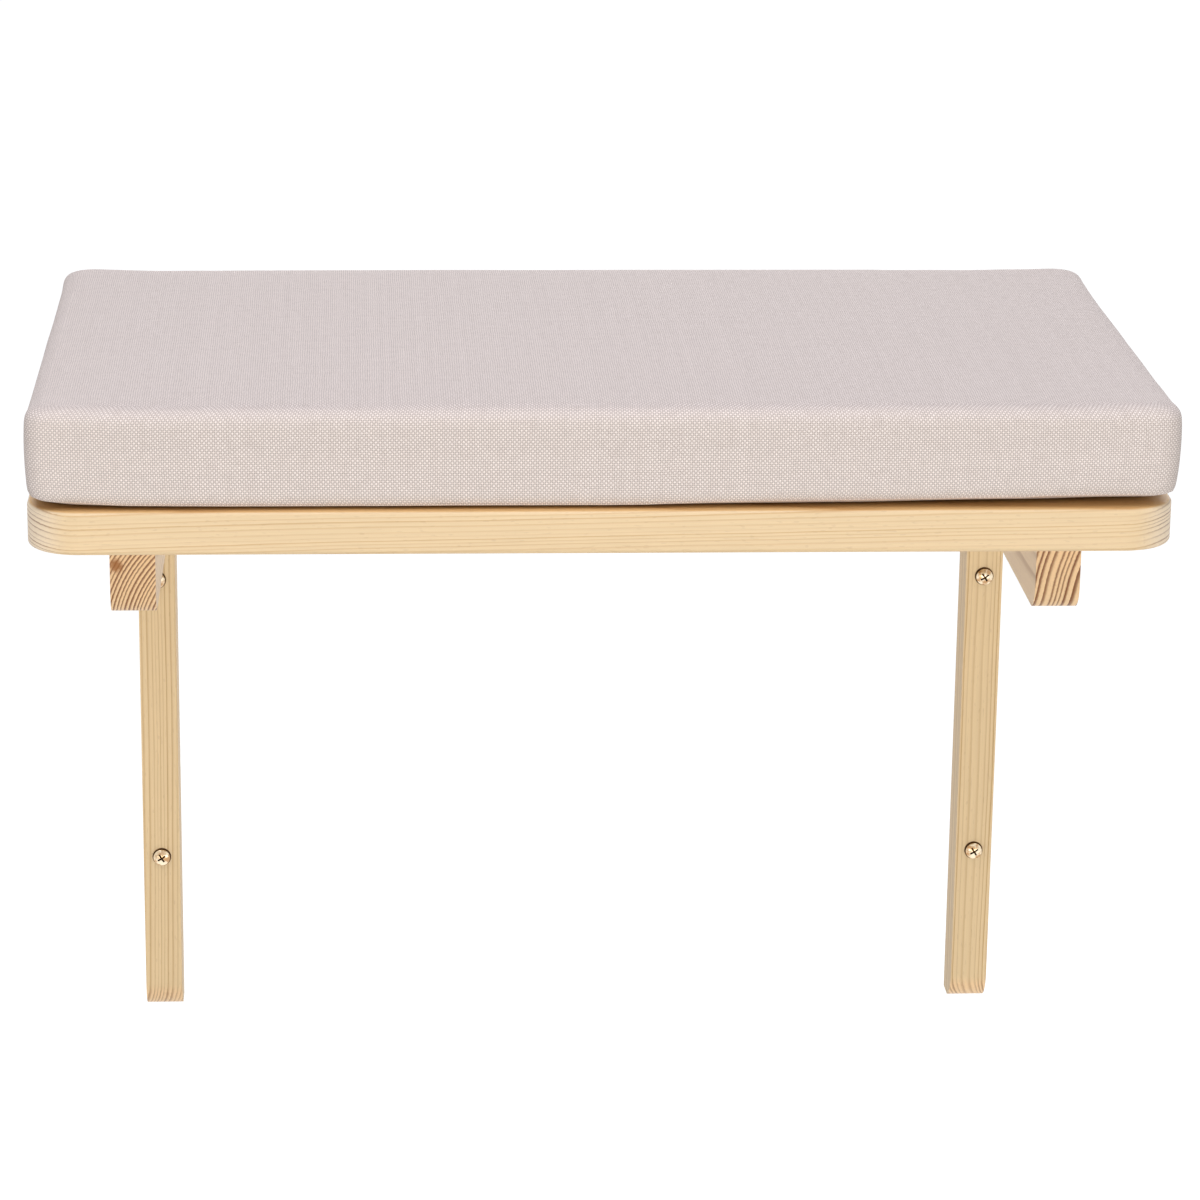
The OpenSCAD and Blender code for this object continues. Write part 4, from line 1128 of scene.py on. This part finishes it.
# Nylon monofilament, drawn and heat set: smooth, waxy, slightly translucent
nylon = patternedMaterial(
    "drawnNylonCoil", "TexNoise", {"Scale": 0.3 / mm, "Detail": 1.0}, [(0.35, "#CFC4B9"), (0.65, "#DCD2C8")],
    {"Roughness": 0.38, "IOR": 1.53, "Subsurface Weight": 0.1, "Subsurface Radius": (0.001, 0.0008, 0.0006),
     "Subsurface Scale": 0.3})
for nodeName in ("zip_tape_upper", "zip_tape_lower"):
    setMaterial(nodes[nodeName], tape)


def coilShape(nodeName, side):
    # One half of the zip: a flattened coil whose heads nearly meet those of the other half
    low, high = boxInMm(nodeName)
    wire, pitch = zipLook["wire"], zipLook["pitch"]
    tailZ = high[2] - wire if side > 0 else low[2] + wire
    headZ = zipZ + side * (zipLook["headGap"] + wire)
    midZ, reach = (tailZ + headZ) / 2, abs(tailZ - headZ) / 2
    midY, deep = (low[1] + high[1]) / 2, (high[1] - low[1]) / 2 - wire
    turns = int((high[0] - low[0] - zipLook["coilEnds"]) / pitch)
    startX = -turns * pitch / 2 + side * pitch / 4
    path = []
    for k in range(turns * zipLook["turnSteps"] + 1):
        turn = k / zipLook["turnSteps"]
        sine, cosine = math.sin(2 * math.pi * turn), math.cos(2 * math.pi * turn)
        squareZ = math.copysign(abs(cosine) ** zipLook["headSquare"], cosine)
        squareY = math.copysign(abs(sine) ** zipLook["flatness"], sine)
        path.append((startX + pitch * turn, midY + deep * squareY, midZ - side * reach * squareZ))
    return tube(path, [wire] * len(path), zipLook["wireSides"])


for name, nodeName, side in (("zipCoilUpper", "zip_coil_upper", 1), ("zipCoilLower", "zip_coil_lower", -1)):
    newPiece(name, coilShape(nodeName, side), nylon, "cushion", "nylon_coil", nodeName, sharp=80)

# The stops, slider and pull, drawn flat and stood up against the back of the cushion
standUp = Matrix(((1, 0, 0, 0), (0, 0, 1, 0), (0, 1, 0, 0), (0, 0, 0, 1)))  # x, z and depth


def bevelled(mesh, width):
    # Small metal parts are tumbled, so no edge of theirs is sharp
    return applied(mesh.name, mesh, "BEVEL", width=width * mm, segments=2, limit_method="ANGLE",
                   angle_limit=math.radians(zipLook["bevelAngle"]))


stopLow, stopHigh = boxInMm("zip_end_stops")
coilLow, coilHigh = boxInMm("zip_coil_upper")
outline = rounded((coilHigh[0] + zipLook["stopFrom"], coilLow[2] - zipZ), (stopHigh[0], stopHigh[2] - zipZ),
                  zipLook["stopCorner"])
stops = [placed(extruded([(end * x, zipZ + side * z) for x, z in outline], stopLow[1], stopHigh[1]), standUp)
         for end in (-1, 1) for side in (-1, 1)]
stopsMesh = bevelled(meshFrom("zipEndStops", joinShapes(stops), 180), zipLook["stopBevel"])
smoothMesh(stopsMesh, zipLook["bevelAngle"])
newPiece("zipEndStops", stopsMesh, nickel, "cushion", "zip_metal", "zip_end_stops")

slider = {
    "bevel": 0.22, "plate": 1.0, "nose": 0.82, "bridgeRoom": 2.5,
    "neckHalf": 0.07, "neckAlong": (2.0, 3.2, 4.2),
    "bridgeBar": 0.85, "bridgeWide": 2.0, "bridgeLong": 7.0, "bridgeHigh": 2.45, "bridgeFoot": 0.4,
    "flangeIn": 0.9, "flangeOver": 0.3,
}
sliderLow, sliderHigh = boxInMm("zip_slider")
sliderX = (sliderLow[0] + sliderHigh[0]) / 2
sliderHalfX, sliderHalfZ = (sliderHigh[0] - sliderLow[0]) / 2, (sliderHigh[2] - sliderLow[2]) / 2
outerTop = sliderHigh[1] - slider["bridgeRoom"]


def sliderPlate(lowY):
    # A shield shape: wide shoulders where the coils come in, narrower where they leave together
    waist = sliderHalfZ * slider["nose"]
    half = [(-sliderHalfX, waist * 0.62), (-sliderHalfX + 0.5, waist * 0.86), (-sliderHalfX + 1.6, waist),
            (-0.5, waist * 1.04), (1.6, sliderHalfZ * 0.97), (3.0, sliderHalfZ), (4.1, sliderHalfZ * 0.94),
            (4.75, sliderHalfZ * 0.72), (sliderHalfX, sliderHalfZ * 0.42)]
    outline = [(sliderX + x, zipZ - z) for x, z in half] + [(sliderX + x, zipZ + z) for x, z in half[::-1]]
    return placed(extruded(outline, lowY, lowY + slider["plate"]), standUp)


def bridgeShape():
    # The arch that holds the pull, a flat strap bent over
    bar, long = slider["bridgeBar"], slider["bridgeLong"] / 2
    high, foot = slider["bridgeHigh"], slider["bridgeFoot"]
    outer = [(-long, -foot), (-long, high * 0.45), (-long + 0.35, high * 0.8), (-long + 1.1, high)]
    inner = [(long - bar, -foot), (long - bar, high * 0.35), (long - bar - 0.35, high - bar)]
    outline = outer + [(-x, y) for x, y in outer[::-1]] + inner + [(-x, y) for x, y in inner[::-1]]
    outline = [(sliderX + x, outerTop + y) for x, y in outline]
    return extruded(outline, zipZ - slider["bridgeWide"] / 2, zipZ + slider["bridgeWide"] / 2)


neckHalf, (neckTip, neckFrom, neckTo) = slider["neckHalf"], slider["neckAlong"]
neckOutline = [(neckTip, 0), (neckFrom, -neckHalf), (neckTo, -neckHalf),
               (neckTo, neckHalf), (neckFrom, neckHalf)]
neck = placed(extruded([(sliderX + x, zipZ + z) for x, z in neckOutline],
                       sliderLow[1] + slider["plate"] / 2, outerTop - slider["plate"] / 2), standUp)
flanges = []
flangeZ = sliderHalfZ - slider["flangeIn"]
for side in (-1, 1):
    run = [(-sliderHalfX + 1.5, flangeZ), (sliderHalfX - 1.5, flangeZ),
           (sliderHalfX - 1.8, sliderHalfZ - 0.12), (-sliderHalfX + 1.8, sliderHalfZ * slider["nose"] + 0.35)]
    run = [(sliderX + x, zipZ + side * z) for x, z in run]
    flanges.append(placed(extruded(run, tapeHigh[1] + slider["flangeOver"], outerTop), standUp))
plates = [sliderPlate(sliderLow[1]), sliderPlate(outerTop - slider["plate"]), bridgeShape()] + flanges
plates = bevelled(meshFrom("sliderBody", joinShapes(plates), 180), slider["bevel"])
body = joinShapes([placedCopies(plates, [Matrix.Identity(4)]), neck])
newPiece("zipSlider", body, nickel, "slider", "zip_metal", "zip_slider", sharp=40)

pull = {
    "thick": 1.2, "bevel": 0.25, "eye": 4.5, "hole": 1.6, "holeInset": 3.5, "holeSteps": 40,
    "cheekGap": 1.3, "cheekWide": 1.2, "pin": 0.65, "pinSteps": 24, "roundSteps": 10,
}
pullLow, pullHigh = boxInMm("zip_pull")
pinY = (pullLow[1] + pullHigh[1]) / 2
pullHalfZ = (pullHigh[2] - pullLow[2]) / 2


def pullOutline():
    # Two prongs round the bridge and a broad round end
    start, end = sliderX - 0.4, pullHigh[0]
    prongIn, prongOut = pull["cheekGap"], pull["cheekGap"] + pull["cheekWide"]
    eye = sliderX + pull["eye"]
    half = [(start, prongOut), (eye - 1.0, prongOut), (eye + 1.5, prongOut + 0.15), (eye + 6, prongOut + 0.2),
            (end - 7, pullHalfZ - 0.25)]
    half += [(end - pullHalfZ + pullHalfZ * math.sin(a), pullHalfZ * math.cos(a))
             for a in np.radians(range(0, 90, pull["roundSteps"]))]
    fork = [(start, -prongIn), (eye - 0.9, -prongIn), (eye - 0.4, -prongIn * 0.6)]
    outline = half + [(end, 0)] + [(x, -z) for x, z in half[::-1]] + fork + [(x, -z) for x, z in fork[::-1]]
    return [(x, zipZ + z) for x, z in outline]


blank = extruded(pullOutline(), pinY - pull["thick"] / 2, pinY + pull["thick"] / 2)
holePlace = Matrix.Translation((pullHigh[0] - pull["holeInset"], pinY, zipZ)) @ intoWall
hole = placed(lathe([(pull["hole"], -2), (pull["hole"], 2)], pull["holeSteps"]), holePlace)
plate = bevelled(cutAway(meshFrom("pullPlate", placed(blank, standUp), 180), [hole]), pull["bevel"])
half = [(pull["pin"] - 0.1, pull["cheekGap"] + 1.1), (pull["pin"] - 0.02, pull["cheekGap"] + 1.0)]
pin = lathe([(r, -h) for r, h in half] + half[::-1], pull["pinSteps"])
parts = [placedCopies(plate, [Matrix.Identity(4)]), placed(pin, Matrix.Translation((sliderX, pinY, zipZ)))]
newPiece("zipPull", joinShapes(parts), nickel, "pull", "zip_metal", "zip_pull")
print("zip made")

# Stitches

thread = {
    "length": 2.6, "pitch": 3.4, "radius": 0.22, "sides": 6, "stand": 0.25, "fromOpening": 2.0,
    # Along a stitch: place as a share of its length, height over the cloth, share of its thickness
    "arch": ((-0.5, -0.2, 0.6), (-0.38, 0.06, 0.95), (-0.15, 0.18, 1.0),
             (0.15, 0.18, 1.0), (0.38, 0.06, 0.95), (0.5, -0.2, 0.6)),
}
# Spun polyester thread, two plies twisted: soft with a fine slanted ridge
sewing = patternedMaterial(
    "spunPolyesterThread", "TexWave", {"Scale": 0.9 / mm, "Distortion": 0.3},
    [(0.0, "#CFC2B6"), (1.0, "#EFE6DC")],
    {"Roughness": 0.7, "IOR": 1.55, "Sheen Weight": 0.2, "Sheen Roughness": 0.4},
    wave_type="BANDS", bands_direction="DIAGONAL")


def stitchesAlong(start, end, outwards):
    # A row of short stitches that dip into the cloth at both ends
    start, end, outwards = Vector(start), Vector(end), Vector(outwards)
    count = max(1, round((end - start).length / thread["pitch"]))
    step = (end - start) / count
    long = step.normalized() * thread["length"]
    radii = [thread["radius"] * size for share, height, size in thread["arch"]]
    middles = [start + step * (k + 0.5) for k in range(count)]
    return [tube([middle + long * share + outwards * height for share, height, size in thread["arch"]],
                 radii, thread["sides"]) for middle in middles]


farZ = cushion["slotHalfHeight"] + thread["fromOpening"]
farX = slotHalfX + thread["fromOpening"]
stitchY = backY + thread["stand"]
rows = []
for side in (-1, 1):
    x, z = side * farX, zipZ + side * farZ
    rows += stitchesAlong((-farX, stitchY, z), (farX, stitchY, z), (0, 1, 0))
    rows += stitchesAlong((x, stitchY, zipZ - farZ), (x, stitchY, zipZ + farZ), (0, 1, 0))
newPiece("zipStitches", joinShapes(rows), sewing, "cushion", "linen_cover", sharp=80)

rows = []
insetX, insetY = (half - grip["seamInset"] for half in gripHalf)
for centreX, centreY in gripCentres:
    corners = [(centreX + x * insetX, centreY + y * insetY, loopLow[2]) for x, y in quarters]
    for a, b in zip(corners, corners[1:] + corners[:1]):
        rows += stitchesAlong(a, b, (0, 0, -1))
newPiece("loopPadStitches", joinShapes(rows), sewing, "cushion", "grip_pad", sharp=80)
print("stitches made")

# Studio, in metres

studio = {
    "ambient": 0.4, "sky": "#FBFAFF", "aim": (0, -0.1, 0.1),
    "floor": {"z": -1.2, "half": 12, "matt": "#ADADAD", "glow": 0.88, "plain": "#E7E7E7"},
    "lamps": {
        "highBox": {"place": (-0.5, -1.35, 2.6), "power": 33.0, "size": (2.0, 1.2), "tint": "#F3F2FC"},
        "frontBox": {"place": (0.2, -3.0, -0.25), "power": 43.0, "size": (4.6, 0.9), "tint": "#FFFDFA"},
        "topBox": {"place": (0.1, -0.4, 2.3), "power": 10.5, "size": (1.8, 1.4), "tint": "#E6E8FF"},
        "backBox": {"place": (0.5, 2.6, 0.8), "power": 24.0, "size": (2.4, 1.6), "tint": "#FFFFFF"},
    },
}

# The photograph's camera, from a fit to the corners of the object: angles in radians, and the focal length
# in pixels of the photograph's 1200
camera = {
    "place": (-0.1118, -2.1426, 0.7030), "pitch": 0.2926, "yaw": 0.0595, "roll": 0.0123,
    "sensor": 36, "focalPixels": 4260.7, "photoWidth": 1200, "clip": (0.05, 60),
}


def addCamera():
    data = bpy.data.cameras.new("photoCamera")
    data.sensor_width = camera["sensor"]
    data.lens = camera["focalPixels"] / camera["photoWidth"] * camera["sensor"]
    data.clip_start, data.clip_end = camera["clip"]
    yaw, pitch, roll = camera["yaw"], camera["pitch"], camera["roll"]
    ahead = Vector((math.sin(yaw) * math.cos(pitch), math.cos(yaw) * math.cos(pitch), -math.sin(pitch)))
    right = Vector((math.cos(yaw), -math.sin(yaw), 0))
    up = right.cross(ahead)
    tiltedRight = math.cos(roll) * right + math.sin(roll) * up
    tiltedUp = -math.sin(roll) * right + math.cos(roll) * up
    turned = Matrix((tiltedRight, tiltedUp, -ahead)).transposed().to_4x4()
    eye = inScene("photoCamera", data)
    eye.matrix_world = Matrix.Translation(camera["place"]) @ turned
    bpy.context.scene.camera = eye


def addLamp(name, lamp):
    # A soft box that faces the middle of the perch
    data = bpy.data.lights.new(name, "AREA")
    data.shape, data.energy = "RECTANGLE", lamp["power"]
    data.size, data.size_y = lamp["size"]
    data.color = linear(lamp["tint"])[:3]
    box = inScene(name, data)
    box.location = lamp["place"]
    box.rotation_euler = (Vector(studio["aim"]) - Vector(lamp["place"])).to_track_quat("-Z", "Y").to_euler()


def seenDirectly(tree):
    # 1 for rays from the camera, off a gloss or through glass, which see plain white behind the perch
    path = addNode(tree, "LightPath")
    seen = addNode(tree, "Math", [
        path.outputs["Is Camera Ray"], path.outputs["Is Glossy Ray"]], operation="MAXIMUM")
    return addNode(tree, "Math", [seen, path.outputs["Is Transmission Ray"]], operation="MAXIMUM")


def addWorld():
    # Soft surrounding light
    world = bpy.data.worlds.new("studio")
    bpy.context.scene.world = world
    world.use_nodes = True
    tree = world.node_tree
    tree.nodes.clear()
    lit = addNode(tree, "Background", {"Color": studio["sky"], "Strength": studio["ambient"]})
    white = addNode(tree, "Background", {"Color": "#FFFFFF", "Strength": 1.0})
    addNode(tree, "OutputWorld", [addNode(tree, "MixShader", [seenDirectly(tree), lit, white])])


def addFloor():
    # Pale matt paper well below the perch; it glows white to the camera and keeps the soft shadow
    look = studio["floor"]
    half = look["half"] / mm
    mesh = asMesh("studioFloor", [(x * half, y * half, 0) for x, y in quarters], [(0, 1, 2, 3)])
    material, tree = newMaterial("paleStudioFloor")
    matt = addNode(tree, "BsdfDiffuse", {"Color": look["matt"]})
    glow = addNode(tree, "Emission", {"Color": "#FFFFFF", "Strength": look["glow"]})
    both = addNode(tree, "AddShader", [matt, glow])
    plain = addNode(tree, "BsdfDiffuse", {"Color": look["plain"]})
    addNode(tree, "OutputMaterial", [addNode(tree, "MixShader", [seenDirectly(tree), plain, both])])
    mesh.materials.append(material)
    floor = inScene("studioFloor", mesh)
    floor.location.z = look["z"]


addCamera()
addWorld()
addFloor()
for name, lamp in studio["lamps"].items():
    addLamp(name, lamp)
bpy.context.scene.view_settings.view_transform = "Standard"
print("studio lit")
